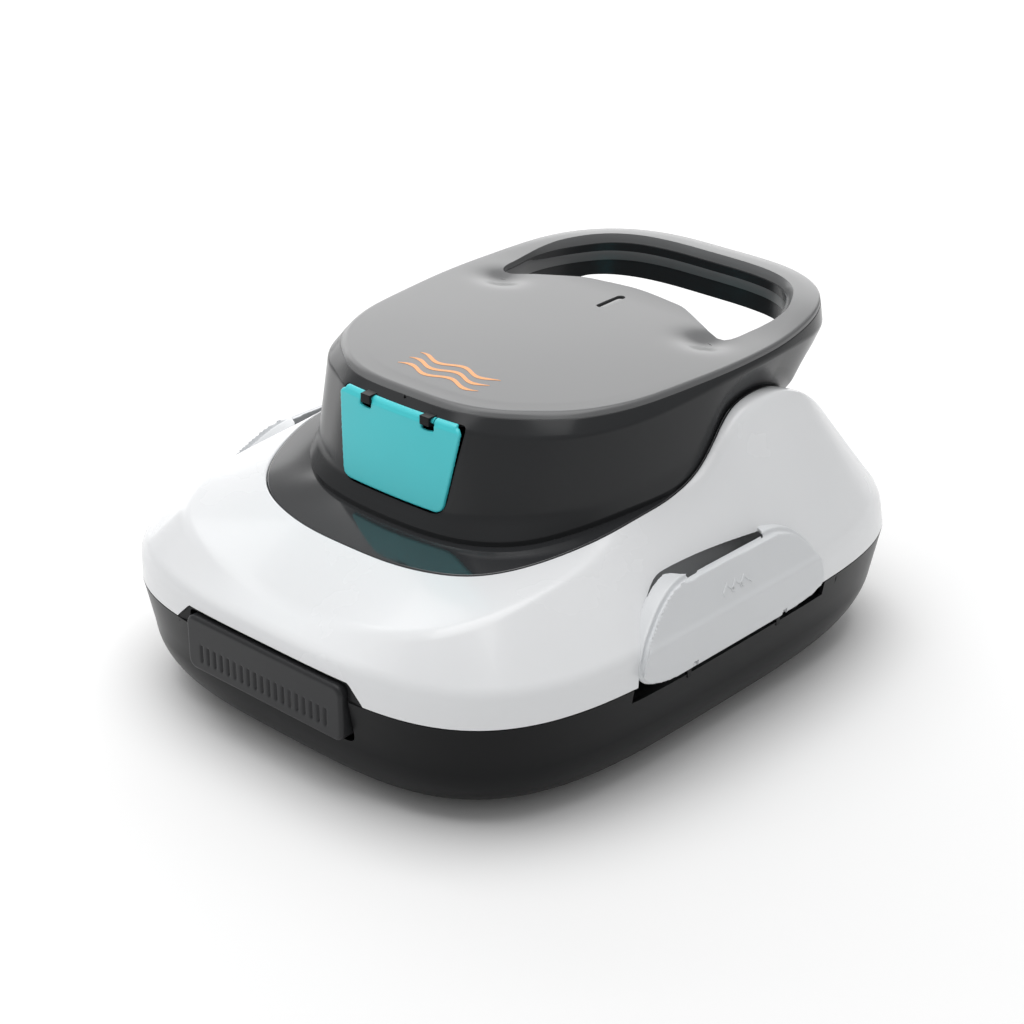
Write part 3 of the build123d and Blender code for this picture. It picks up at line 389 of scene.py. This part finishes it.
M = {
    "white": mat("white_shell_plastic", (0.79, 0.80, 0.812), 0.26, 2e-5, 1400, coat=0.15, var=0.012),
    "latch": mat("latch_plastic", (0.68, 0.695, 0.71), 0.36, 2e-5, 1400, coat=0.1, var=0.012),
    "dark": mat("head_gloss_plastic", (0.026, 0.027, 0.0285), 0.20, 1e-5, 900, coat=0.0, ior=1.30, var=0.05, rvar=0.03),
    "deck": mat("deck_gloss_plastic", (0.030, 0.031, 0.033), 0.10, 0.0, 900, coat=0.5, var=0.04, rvar=0.02),
    # top panel: the satin finish is real, but its base colour, lighter than the head's dark plastic, is painted light
    # standing in for the overhead light falling on the top
    "top": mat("top_panel_satin_painted_light", (0.117, 0.119, 0.121), 0.33, 2e-5, 1800, coat=0.1, var=0.02, rvar=0.03),
    "black": mat("tray_black_plastic", (0.0095, 0.0098, 0.0105), 0.30, 3e-5, 1500, coat=0.0, ior=1.22, var=0.06),
    "pad": mat("pad_black_plastic", (0.020, 0.0205, 0.022), 0.40, 5e-5, 1900, ior=1.36, var=0.06),
    "teal": mat("teal_flap_plastic", (0.06, 0.63, 0.68), 0.32, 2e-5, 1200, coat=0.1, var=0.03),
    "rubber": mat("soft_rubber", (0.03, 0.031, 0.033), 0.6, 6e-5, 1800, var=0.08),
    "tyre": mat("tyre_rubber", (0.02, 0.02, 0.021), 0.7, 8e-5, 1500, var=0.1),
    "steel": mat("pin_steel", (0.62, 0.62, 0.63), 0.28, 1e-5, 2500, metal=1.0, var=0.05),
    "grey": mat("filter_grey_plastic", (0.45, 0.47, 0.49), 0.5, 3e-5, 1500),
    "can": mat("motor_can_alloy", (0.6, 0.6, 0.62), 0.32, 2e-5, 2500, metal=1.0),
    "iron": mat("iron_core", (0.16, 0.155, 0.15), 0.5, 4e-5, 2000, metal=1.0),
    "prop": mat("propeller_plastic", (0.55, 0.57, 0.58), 0.35, 2e-5, 1200),
    "cell": mat("cell_wrap", (0.02, 0.10, 0.32), 0.35, 1e-5, 1200),
    "board": mat("board_green", (0.01, 0.11, 0.04), 0.4, 4e-5, 2600),
    "brass": mat("contact_brass", (0.75, 0.58, 0.25), 0.25, 1e-5, 2500, metal=1.0),
    "lens": mat("status_lens_dark", (0.006, 0.006, 0.007), 0.06, 0.0, 900, coat=0.6),
    "orange": mat("orange_print", (0.82, 0.33, 0.09), 0.4, 1e-5, 1500, var=0.04),
}
mesh_m = bpy.data.materials.new("filter_weave")
mesh_m.use_nodes = True
nt = mesh_m.node_tree
pb = nt.nodes["Principled BSDF"]
tc = nt.nodes.new("ShaderNodeTexCoord")
ch = nt.nodes.new("ShaderNodeTexChecker")
ch.inputs["Scale"].default_value = 900.0
ch.inputs["Color1"].default_value = (0.42, 0.45, 0.47, 1)
ch.inputs["Color2"].default_value = (0.10, 0.11, 0.12, 1)
nt.links.new(tc.outputs["Object"], ch.inputs["Vector"])
nt.links.new(ch.outputs["Color"], pb.inputs["Base Color"])
pb.inputs["Roughness"].default_value = 0.8
M["mesh"] = mesh_m

SLOT = {"white_shell": "white", "dark_gloss": "dark", "dark_satin": "top", "black_plastic": "black",
        "pad_plastic": "pad", "teal_plastic": "teal", "grey_rubber": "rubber",
        "tyre_rubber": "tyre", "steel": "steel", "filter_frame": "grey", "filter_mesh": "mesh",
        "lens": "lens", "motor_can": "can", "iron": "iron", "prop_plastic": "prop",
        "cell_wrap": "cell", "board": "board", "contact_brass": "brass"}


def give(o, key):
    o.data.materials.clear()
    o.data.materials.append(M[key])


for sp in frame["record"]["subparts"]:
    o = nodes[sp["node"]]
    give(o, SLOT[sp["material_slot"]])

# ---------------------------------------------------------------- white cover
rA = oval(178.9, 215.0, 3.89, 4.32, 0.0)
rB = oval(178.9, 213.0, 4.0, 4.1, 20.0)
rD = ring(T_CREASE)
rE = ring(T_INNER)
rP = inset(rE, 1.2)
rP[:, 2] = 44.0
rP2 = inset(rE, -1.6)
rP2[:, 2] = 41.0
rP3 = rP.copy()
rP3[:, 2] = 41.0
rD2 = rD + (rE - rD) * 0.30
rD2[:, 2] -= 3.4
rE2 = rE + (rD - rE) * 0.30
rE2[:, 2] -= 3.4
prof = [rA, rB, rD, rE, rP, rP3, rP2, rE2, rD2, inset(rB, W, 1.0), inset(rA, W)]
rads = [0.8, 7.0, 5.0, 1.6, 0, 0, 0, 0, 0, 0, 0]
cover = loft("white_cover_shell", rounded(prof, rads, 7, closed=True), closed=True, sharp=40)


def mm(poly):
    return [(y * K, z * K + Z0) for y, z in poly]


def smooth2(poly, m=5):
    return [(p[0], p[1]) for p in smooth([(a, b, 0.0) for a, b in poly], m)]


g1 = smooth2(LATCH_OUT, 6)
keep_i = [i for i in range(len(g1)) if g1[i][1] > 8.0 and i < 0.8 * len(g1)]


def pocket(d):
    g = grow(g1, d)
    pts = [g[i] for i in keep_i]
    return pts + [(max(q[0] for q in pts), -6.0), (min(q[0] for q in pts), -6.0)]


pk, pn = pocket(0.9), pocket(0.9 + W)
outer_s = loft("cover_solid", [inset(r, 0.15) for r in rounded([rA, rB, rD, rE, rP], [0, 7.0, 5.0, 1.6, 0], 5)], True, True)
n = len(pk)
xo, xf, xt = 190 * K, 144.5 * K, 141.5 * K
V = [(xo, y, z) for y, z in mm(pn)] + [(xt, y, z) for y, z in mm(pn)] + \
    [(xo, y, z) for y, z in mm(pk)] + [(xf, y, z) for y, z in mm(pk)]
F = [tuple(n + i for i in range(n)), tuple(3 * n + i for i in range(n - 1, -1, -1))]
for i in range(n):
    k = (i + 1) % n
    F += [(i, k, n + k, n + i), (2 * n + k, 2 * n + i, 3 * n + i, 3 * n + k), (k, i, 2 * n + i, 2 * n + k)]
pan = make("latch_well_right", V, F)
lowbox = boxm("lowbox", (0.0, -0.3, -0.1), (0.4, 0.3, Z0 + 0.0001))
boolean(pan, [lowbox])
boolean(pan, [outer_s], "INTERSECT")
hole = prism("hole", mm(pk), 0, xf, xo)
hole2 = prism("hole2", [(y, z) for y, z in mm(pk)], 0, -xo, -xf)
notch = prism("notch", [(x * K, z * K + Z0) for x, z in
                        [(-79.6, -3), (79.6, -3), (79.3, 0), (77.5, 2.0), (69.0, 10.0), (67.0, 11.3),
                         (-67.0, 11.3), (-69.0, 10.0), (-77.5, 2.0), (-79.3, 0)]], 1, -0.25, 0.25)
boolean(cover, [hole, hole2, notch])
shade(cover, 38)
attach(cover, "upper")
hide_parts("white_cover")
give(cover, "white")
shade(pan, 38)
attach(pan, "upper")
give(pan, "white")
pan2 = mirrored(pan, "latch_well_left", "upper")
give(pan2, "white")

def crown(y):
    """How much the grip rises above the plain panel towards the rear."""
    t = np.clip((np.asarray(y, float) - 95.0) / 75.0, 0, 1)
    return 4.4 * t * t * (3 - 2 * t)


# ---------------------------------------------------------------- head
NH = 360
rF = ring(T_COLLAR, 40.0, n=NH)
rG = ring(T_SHOULDER, 40.0, n=NH)
rH = ring(T_TOP, 40.0, top_z, n=NH)
rH[:, 2] += 0.5 * crown(rH[:, 1])
dz = np.minimum(10.0, 0.42 * (rG[:, 2] - rF[:, 2]))
rW = rF + (rG - rF) * 0.42
rW[:, 2] = rF[:, 2] + dz
rP0 = inset(rF, 2.0)
rP0[:, 2] = 46.0
rHt = inset(rH, 6.0)
rHt[:, 2] -= 3.0 / 0.9302
rHe = rH + (rG - rH) * np.clip(3.0 / 0.9302 / np.maximum(rH[:, 2] - rG[:, 2], 1), 0, 1)[:, None]
hb = rounded([rP0, rF, rW, rG, rHe, rHt], [0, 0.8, 3.6, 1.7, 0.6, 0], 7)
house = loft("head_housing_shell", hb, True, True)
v0, v1, v2 = ring(V_LOW, 20.0, 30.0, 160, 4), ring(V_LOW, 20.0, 62.0, 160, 4), ring(V_MID, 20.0, 121.0, 160, 4)
v3 = ring(V_TOP, 20.0, lambda y: top_z(y) - 2.0, 160, 4)
v4 = v3.copy()
v4[:, 2] += 10
void = loft("void", [v0, v1, v2, v3, v4], True, True)


def hand_ring(z, grow_by=0.0):
    r = ring(T_HAND, 150.0, z, 220, 3)
    w = np.clip((r[:, 1] - 118.0) / 25.0, 0, 1)
    return inset(r, -(0.3 + grow_by * (0.25 + 0.75 * w)))


def hand_cutter(name, extra, flare):
    rr = [inset(hand_ring(20.0), -extra), inset(hand_ring(lambda y: top_z(y) - 7.5), -extra)]
    if flare:
        rr += [hand_ring(lambda y: top_z(y) - 6.2, 0.5), hand_ring(lambda y: top_z(y) - 2.0 + 0.7 * crown(y), 2.2),
               hand_ring(lambda y: top_z(y) + 0.3 + crown(y), 4.6),
               hand_ring(lambda y: top_z(y) + 1.6 + crown(y), 7.2), hand_ring(175.0, 7.6)]
    else:
        rr += [inset(hand_ring(170.0), -extra)]
    return loft(name, rr, True, True)


under_pts = smooth2([(250, 20), (250, 111.5), (215, 112.2), (190, 112.8), (170, 114), (160, 114), (152, 111.5), (146, 105.5),
                     (141.5, 97), (139, 88), (142, 76), (146, 66), (148, 50), (148, 20)], 6)
under = prism("under", [(y * K, z * K + Z0) for y, z in under_pts], 0, -0.14, 0.14)
fzb, fzt = Z0 + 68.8 * K, Z0 + 122.2 * K
hbt, htt = 36.1 * K, 47.2 * K


def trapezoid(zb, zt, hb_, ht_, r, seg=6):
    c = [(-hb_, zb), (hb_, zb), (ht_, zt), (-ht_, zt)]
    pts = []
    for i in range(4):
        p, a, b = Vector(c[i]), Vector(c[i - 1]), Vector(c[(i + 1) % 4])
        rr = r if i < 2 else r * 0.5
        q0, q1 = p + (a - p).normalized() * rr, p + (b - p).normalized() * rr
        for k in range(seg + 1):
            t = k / seg
            v = (1 - t) ** 2 * q0 + 2 * t * (1 - t) * p + t * t * q1
            pts.append((v.x, v.y))
    return pts


op_f = prism("opf", trapezoid(fzb - 0.0009, fzt + 0.0013, hbt * 1.13 + 0.0008, htt * 1.05 + 0.0008, 0.0092), 1, -0.14, -0.06)
pin_hole = prism("ph", [(0.0011 * math.cos(2 * math.pi * i / 20), -96.5 * K + 0.0011 * math.sin(2 * math.pi * i / 20))
                        for i in range(20)], 2, 0.176, 0.2)
op_r = prism("opr", trapezoid(0.1318, 0.1752, 0.0272, 0.0322, 0.006), 1, 0.085, 0.125)
hc = hand_cutter("hc", 0.35, False)
boolean(house, [void, hc, under, op_f, op_r, pin_hole])
shade(house, 35)
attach(house, "upper")
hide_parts("head_housing", "handle_lower")
give(house, "dark")

# top panel with the upper half of the handle
rows = []
ctr = np.array([0.0, 55.0])
h3 = rHe.copy()
h3[:, 2] -= 0.15
low = inset(h3, 2.2)
low[:, 2] = top_z(low[:, 1]) - 12.0 / 0.9302
first = rounded([low, inset(h3, 0.25), rH, inset(rH, 8.0)], [0, 0.5, 2.4, 0], 7)
rows += first
base_r = first[-1]
for k in range(1, 46):
    f = k / 46.0
    r = base_r.copy()
    r[:, 0] = base_r[:, 0] * (1 - f)
    r[:, 1] = ctr[1] + (base_r[:, 1] - ctr[1]) * (1 - f)
    r[:, 2] = top_z(r[:, 1]) + 0.5 * crown(r[:, 1])
    rows.append(r)


def dish(r):
    o = r.copy()
    for sx in (-1, 1):
        d = np.hypot((r[:, 0] - sx * 84) / 15.0, (r[:, 1] - 76) / 12.0)
        o[:, 2] -= 4.0 * np.exp(-d ** 2)
    o[:, 2] += 0.9 * np.clip(1 - (r[:, 0] / 115.0) ** 2, 0, 1) * np.clip(1 - ((r[:, 1] - 20) / 110.0) ** 2, 0, 1)
    p0, p1 = rH[:, :2], np.roll(rH[:, :2], -1, 0)
    e = p1 - p0
    w = r[:, None, :2] - p0[None]
    t = np.clip((w * e).sum(2) / (e * e).sum(1), 0, 1)
    near = np.sqrt(((w - t[..., None] * e) ** 2).sum(2)).min(1)
    o[:, 2] += 0.5 * crown(r[:, 1]) * (1 - np.exp(-(near / 8.0) ** 1.5))
    return o


rows = rows[:len(first) - 4] + [dish(r) for r in rows[len(first) - 4:]]
top = loft("top_panel_and_grip", rows, True, True)
hc = hand_cutter("hc2", 0.0, True)
sl = []
for a in range(24):
    t = 2 * math.pi * a / 24
    sl.append((0.0029 * math.cos(t), (87.5 + (9.4 if math.sin(t) > 0 else -9.4)) * K + 0.0029 * math.sin(t)))
slot = prism("slotc", sl, 2, 0.185, 0.21)
boolean(top, [hc, slot])
shade(top, 35)
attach(top, "upper")
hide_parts("top_cover")
give(top, "top")

# deck between the cover and the foot of the head
dE, dF = ring(T_INNER, 20.0), ring(T_COLLAR, 20.0)
d0 = inset(dE, 0.5, 0.0)
d1 = dF.copy()
d1[:, 2] -= 3.4
d1[:, 2] = np.minimum(d1[:, 2], d0[:, 2] + 6)
deck = loft("deck_trim_gloss", rounded([inset(d0, 0, 4.0), d0, inset(d1, 2.0), inset(d1, 4.0, 6.0)], [0, 0.7, 0, 0], 5),
            closed=True)
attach(deck, "upper")
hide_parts("deck_trim")
give(deck, "deck")

# ---------------------------------------------------------------- tray
def tray_inset(z):
    if z >= -29.69:
        return 4.98 * (-z / 29.69)
    t = min(1.0, (-29.69 - z) / 36.16)
    return 4.98 + 30.85 * (1.0 - math.sqrt(max(0.0, 1.0 - t * t)))


def tray_ring(z, extra=0.0):
    i = tray_inset(z) + extra
    f = min(1.0, max(0.0, (-z - 29.69) / 36.16))
    return oval(178.9 - i, 215.0 - i, 3.89 - 0.29 * f, 4.32 - 0.72 * f, z)


lv = [-0.3, -1.0, -8, -15, -22] + [-29.69 - 36.16 * math.sin(math.radians(a)) for a in range(0, 88, 4)]
out_r = [tray_ring(z) for z in lv] + [tray_ring(-65.85)]
inn_r = [tray_ring(z, W) for z in lv if z > -65.85 + W + 1.5]
last = tray_ring(-65.85 + W + 1.2, W + 1.2)
last[:, 2] = -65.85 + W
inn_r.append(last)
rr = inn_r[::-1] + out_r
tray = loft("tray_shell", rr, True, True)
rec_y, rec_h = 201.0 * K, 68.4 * K
cuts = []
for s in (-1, 1):
    a, b = sorted((s * 0.25, s * rec_y))
    cuts.append(prism("rc", trapezoid(Z0 - 29.2 * K, Z0 + 24 * K, rec_h, rec_h, 0.006), 1, a, b))
    a, b = sorted((s * 161.5 * K, s * 190 * K))
    cuts.append(boxm("nt", (a, -96 * K, Z0 - 9.5 * K), (b, 84 * K, Z0 + 5 * K)))
    cuts.append(boxm("mo", (-0.055, s * 0.078 - 0.008, 0.0), (0.055, s * 0.078 + 0.008, 0.012)))
    for y in (-109.0, 97.0):
        a, b = sorted((s * 176.4 * K, s * 190 * K))
        cuts.append(boxm("sm", (a, y * K, Z0 - 44 * K), (b, y * K + 0.0009, Z0 - 2 * K)))
    for s2 in (-1, 1):
        cuts.append(boxm("wl", (s2 * 0.092 - 0.008, s * 0.128 - 0.0155, 0.0), (s2 * 0.092 + 0.008, s * 0.128 + 0.0155, 0.01)))
boolean(tray, cuts)
extra = []
for s in (-1, 1):
    def yb(a, b):
        return sorted((s * a * K, s * b * K))
    a, b = yb(201.0, 201.0 - W)
    extra.append(prism("bk", trapezoid(Z0 - 32 * K, Z0 + 10.6 * K, 71.2 * K, 66.6 * K, 0.002), 1, a, b))
    a, b = yb(212.4, 200.6)
    for s2 in (-1, 1):
        x0, x1 = sorted((s2 * 68.4 * K, s2 * 71.2 * K))
        extra.append(boxm("sd", (x0, yb(207.6, 198.4)[0], Z0 - 31 * K), (x1, yb(207.6, 198.4)[1], Z0 - 0.4 * K)))
    extra.append(boxm("fl", (-71.2 * K, yb(206.5, 198.4)[0], Z0 - 32 * K), (71.2 * K, yb(206.5, 198.4)[1], Z0 - 29.2 * K)))
    tabo = prism("tb", [(x * K, z * K + Z0) for x, z in [(-78.2, -3), (78.2, -3), (78.2, -0.2), (76.6, 2.0), (68.2, 9.8), (66.4, 10.8),
                                                        (-66.4, 10.8), (-68.2, 9.8), (-76.6, 2.0), (-78.2, -0.2)]], 1, a, b)
    cc = prism("rc", trapezoid(Z0 - 29.2 * K, Z0 + 9.8 * K, rec_h, 66.9 * K, 0.006), 1, *sorted((s * 0.25, s * rec_y)))
    boolean(tabo, [cc])
    extra.append(tabo)
    x0, x1 = sorted((s * 158 * K, s * 161.5 * K))
    extra.append(boxm("lw", (x0, -98.5 * K, Z0 - 14 * K), (x1, 86.5 * K, Z0 - 0.4 * K)))
    x0, x1 = sorted((s * 158 * K, s * 174.0 * K))
    extra.append(boxm("lf", (x0, -98.5 * K, Z0 - 14 * K), (x1, 86.5 * K, Z0 - 9.5 * K)))
    for y in (-48.6, 36.4):
        x0, x1 = sorted((s * 173.2 * K, s * 177.4 * K))
        extra.append(boxm("kn", (x0, y * K, Z0 - 12 * K), (x1, (y + 3.4) * K, Z0 - 2.0 * K)))
    for s2 in (-1, 1):
        bx = boxm("wb", (s2 * 0.092 - 0.0105, s * 0.128 - 0.018, 0.004), (s2 * 0.092 + 0.0105, s * 0.128 + 0.018, 0.0315))
        bc = boxm("wc", (s2 * 0.092 - 0.008, s * 0.128 - 0.0155, 0.0), (s2 * 0.092 + 0.008, s * 0.128 + 0.0155, 0.029))
        boolean(bx, [bc])
        extra.append(bx)
bm = bmesh.new()
bm.from_mesh(tray.data)
for e in extra:
    bm.from_mesh(e.data)
    me = e.data
    bpy.data.objects.remove(e)
    bpy.data.meshes.remove(me)
bm.to_mesh(tray.data)
bm.free()
shade(tray, 35)
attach(tray, "base")
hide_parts("lower_tray")
give(tray, "black")

# ---------------------------------------------------------------- small visible parts
PX = [(-3.0, 181.6), (4.0, 182.8), (22.0, 182.1), (24.0, 180.2), (45.5, 171.0), (60.0, 164.8)]


def face_x(z):
    zs, xs = [q[0] for q in PX], [q[1] for q in PX]
    return (np.interp(z - 0.8, zs, xs) + np.interp(z, zs, xs) + np.interp(z + 0.8, zs, xs)) / 3


def latch_mesh():
    """Outer face as a fine grid inside the outline, a wide rounded edge and side walls."""
    out2 = np.array(smooth2(LATCH_OUT, 8))
    d = np.vstack([out2, out2[:1]])
    seg = np.r_[0, np.cumsum(np.linalg.norm(np.diff(d, axis=0), axis=1))]
    want = np.linspace(0, seg[-1], 241)[:-1]
    base = np.stack([np.interp(want, seg, d[:, 0]), np.interp(want, seg, d[:, 1])], 1)
    n_ = len(base)
    cen = np.array([-8.0, 20.0])

    def shrink(t):
        r3 = np.hstack([base, np.zeros((n_, 1))])
        q = inset(r3, t)[:, :2]
        for _ in range(int(2 + 4 * max(t, 0))):
            q = 0.5 * q + 0.25 * (np.roll(q, 1, 0) + np.roll(q, -1, 0))
        return q

    # front end of the latch carries a wide bevel, the rest a small round
    w_ = np.clip((-base[:, 0] - 34.0) / 22.0, 0, 1) * np.clip((base[:, 1] - 4.0) / 8.0, 0, 1)
    w_ = w_ * w_ * (3 - 2 * w_)
    rings_ = []
    depth = np.where((base[:, 0] > -41) & (base[:, 0] < 35) & (base[:, 1] > 30), 3.4, 15.0)
    depth = np.where(base[:, 1] < 6, 6.0, depth)
    for _ in range(4):
        depth = 0.5 * depth + 0.25 * (np.roll(depth, 1) + np.roll(depth, -1))
    q = shrink(0.0)
    rings_.append(np.column_stack([face_x(q[:, 1]) - depth, q]))
    drop = 1.3 + 3.6 * w_
    wid = 1.1 + 3.8 * w_
    rings_.append(np.column_stack([face_x(q[:, 1]) - drop, q]))
    for k in range(1, 9):
        a_ = math.radians(90 * k / 8)
        t = wid * (1 - math.cos(a_))
        r3 = np.hstack([base, np.zeros((n_, 1))])
        q = inset(r3, t)[:, :2]
        rings_.append(np.column_stack([face_x(q[:, 1]) - drop * (1 - math.sin(a_)), q]))
    q0 = rings_[-1][:, 1:]
    for k in range(1, 26):
        f = k / 26.0
        q = q0 + (cen - q0) * f
        q[:, 1] = q0[:, 1] * (1 - f) + cen[1] * f
        rings_.append(np.column_stack([face_x(q[:, 1]), q]))
    inner = []
    for t, dx in ((3.0, None), (3.2, 4.2)):
        q = shrink(t)
        if dx is None:
            inner.append(np.column_stack([face_x(q[:, 1]) - np.maximum(depth, 4.4), q]))
        else:
            inner.append(np.column_stack([face_x(q[:, 1]) - 4.2, q]))
    return loft("latch_right_moulded", inner[::-1] + rings_, True, True, sharp=40)


lr = latch_mesh()
eye = []
for y0, y1 in ((-44.6, -38), (29, 35.8)):
    pts = [(175.6 * K + 0.0028 * math.cos(t_), Z0 - 0.004 + 0.0028 * math.sin(t_))
           for t_ in [2 * math.pi * i_ / 24 for i_ in range(24)]]
    eye.append(prism("eye", pts, 1, y0 * K, y1 * K))
cutl = [boxm("sl", (170 * K, (y - 0.6) * K, Z0 - 8 * K), (190 * K, (y + 4.0) * K, Z0 + 0.6 * K)) for y in (-48.6, 36.4)]
md = lr.modifiers.new("r", "REMESH")
md.mode = "VOXEL"
md.voxel_size = 0.0006
md.use_smooth_shade = True
md = lr.modifiers.new("s", "SMOOTH")
md.factor = 0.5
md.iterations = 12
apply(lr)
boolean(lr, cutl)
bm = bmesh.new()
bm.from_mesh(lr.data)
for e in eye:
    bm.from_mesh(e.data)
    me = e.data
    bpy.data.objects.remove(e)
    bpy.data.meshes.remove(me)
bm.to_mesh(lr.data)
bm.free()
shade(lr, 40)
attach(lr, "side_latch_right")
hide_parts("latch_right")
give(lr, "latch")
ll = mirrored(lr, "latch_left_moulded", "side_latch_left", "latch_left")
give(ll, "latch")


def bow(co):
    o = co.copy()
    t = np.clip((co[:, 2] - 0.129) / 0.047, 0, 1)
    o[:, 0] *= 1.13 - 0.08 * t
    o[:, 1] += 1.35 * co[:, 0] ** 2 - 0.0012
    up = np.clip((co[:, 2] - (co[:, 2].max() - 0.0040)) / 0.0040, 0, 1)
    o[:, 1] += 0.0024 * up ** 1.5
    return o


ff = soft_copy("jet_flap_front_moulded", "outlet_flap_front", "jet_flap_front", 0.0005, 5, bow)
zt_ = max(v.co.z for v in ff.data.vertices)
slits = []
for x in (-0.0275, -0.0245, 0.0245, 0.0275):
    slits.append(boxm("slit", (x - 0.0005, -0.14, zt_ - 0.0065), (x + 0.0005, -0.06, zt_ + 0.01)))
boolean(ff, slits)
shade(ff, 50)
give(ff, "teal")
fr = soft_copy("jet_flap_rear_moulded", "outlet_flap_rear", "jet_flap_rear", 0.0005, 5)
give(fr, "teal")
pf = soft_copy("bumper_front_moulded", "bumper_pad_front", "pad_front", 0.0006, 4)
give(pf, "pad")
pr = soft_copy("bumper_rear_moulded", "bumper_pad_rear", "pad_rear", 0.0006, 4)
give(pr, "pad")
cf = soft_copy("flap_clips_front_moulded", "flap_clips_front", "upper", 0.0003, 4)
give(cf, "black")


# generic raised arrow on each latch
def chevrons(name, sx, body):
    V, F = [], []
    d = Vector((-9.2, 0, 21.5)).normalized()
    nrm = Vector((21.5, 0, 9.2)).normalized()
    o0 = Vector((180.2, 0, 24.0))
    for c, off in ((-8.0, 0.0), (0.0, 0.0), (8.0, 0.0)):
        pts = [(c - 5.2, 5.4), (c, 10.2), (c + 5.2, 5.4), (c + 5.2, 7.6), (c, 12.6), (c - 5.2, 7.6)]
        b0 = len(V)
        for h in (-0.6, 0.5):
            for y, v in pts:
                p = o0 + d * v + nrm * h
                V.append((sx * p.x * K, (y - 5.0) * K, p.z * K + Z0))
        F += [tuple(b0 + i for i in range(6)), tuple(b0 + 11 - i for i in range(6))]
        F += [(b0 + i, b0 + (i + 1) % 6, b0 + 6 + (i + 1) % 6, b0 + 6 + i) for i in range(6)]
    o = make(name, V, F, body, 30)
    m = o.modifiers.new("bv", "BEVEL")
    m.width = 0.00018
    m.segments = 2
    give(o, "latch")
    return o


chevrons("latch_arrows_right", 1, "side_latch_right")
chevrons("latch_arrows_left", -1, "side_latch_left")

# generic wave mark printed on the top panel
V, F = [], []
for j in range(3):
    y0, b0 = -70.0 + 8.5 * j, len(V)
    nseg = 72
    for i in range(nseg + 1):
        t = i / nseg
        x = -33.0 + 66.0 * t
        yc = y0 + 2.6 * math.sin(2 * math.pi * (2.0 * t + 0.08 * j))
        wd = 1.45 * min(1.0, 7 * min(t, 1 - t) + 0.15)
        q = np.array([[x, yc - wd, top_z(yc - wd)], [x, yc + wd, top_z(yc + wd)]])
        q = dish(q)
        for p in q:
            V.append((p[0] * K, p[1] * K, p[2] * K + Z0 - 0.0002))
            V.append((p[0] * K, p[1] * K, p[2] * K + Z0 + 0.00012))
    for i in range(nseg):
        a, b = b0 + 4 * i, b0 + 4 * (i + 1)
        F += [(a + 1, a + 3, b + 3, b + 1), (a, b, b + 2, a + 2), (a, a + 1, b + 1, b), (a + 2, b + 2, b + 3, a + 3)]
    F += [(b0, b0 + 2, b0 + 3, b0 + 1)]
    e0 = b0 + 4 * nseg
    F += [(e0, e0 + 1, e0 + 3, e0 + 2)]
wave = make("wave_mark", V, F, "upper", 60)
give(wave, "orange")

# ---------------------------------------------------------------- stage, lights, camera
bpy.ops.mesh.primitive_plane_add(size=1.0, location=(0, 0, 0))
floor = bpy.context.object
floor.name = "floor"
floor.scale = (14, 14, 1)
fm = bpy.data.materials.new("floor_white")
fm.use_nodes = True
fp = fm.node_tree.nodes["Principled BSDF"]
fp.inputs["Base Color"].default_value = (0.93, 0.93, 0.93, 1)
fp.inputs["Roughness"].default_value = 0.9
fp.inputs["Specular IOR Level"].default_value = 0.1
floor.data.materials.append(fm)

world = bpy.data.worlds.new("studio")
scene.world = world
world.use_nodes = True
bg = world.node_tree.nodes["Background"]
bg.inputs["Color"].default_value = (1, 1, 1, 1)
bg.inputs["Strength"].default_value = 0.44


def area(name, loc, target, sx, sy, radiance):
    L = bpy.data.lights.new(name, "AREA")
    L.shape = "RECTANGLE"
    L.size, L.size_y = sx, sy
    L.energy = radiance * math.pi * sx * sy
    o = bpy.data.objects.new(name, L)
    scene.collection.objects.link(o)
    o.location = loc
    o.rotation_euler = (Vector(target) - Vector(loc)).to_track_quat("-Z", "Y").to_euler()
    return o


area("overhead", (-0.2, -0.1, 2.4), (0, 0, 0.1), 2.4, 2.4, 2.4)
area("rear_left", (-2.1, 1.8, 1.1), (0, 0, 0.15), 4.4, 2.1, 1.9)
area("front_left", (-1.7, -1.2, 1.5), (0, 0, 0.1), 1.2, 1.2, 0.5)

az, el = math.radians(42.644), math.radians(25.787)
b = Vector((math.sin(az) * math.cos(el), -math.cos(az) * math.cos(el), math.sin(el)))
r = Vector((math.cos(az), math.sin(az), 0))
u = b.cross(r)
kk = K
c = (-3.479 * r + 16.865 * u + 1431.322 * b) * kk + Vector((0, 0, Z0))
cam_d = bpy.data.cameras.new("camera")
cam_d.sensor_width = 36.0
cam_d.lens = 2252.58 / 1024.0 * 36.0
cam = bpy.data.objects.new("camera", cam_d)
scene.collection.objects.link(cam)
Mx = Matrix((r, u, b)).transposed().to_4x4()
Mx.translation = c
cam.matrix_world = Mx
scene.camera = cam
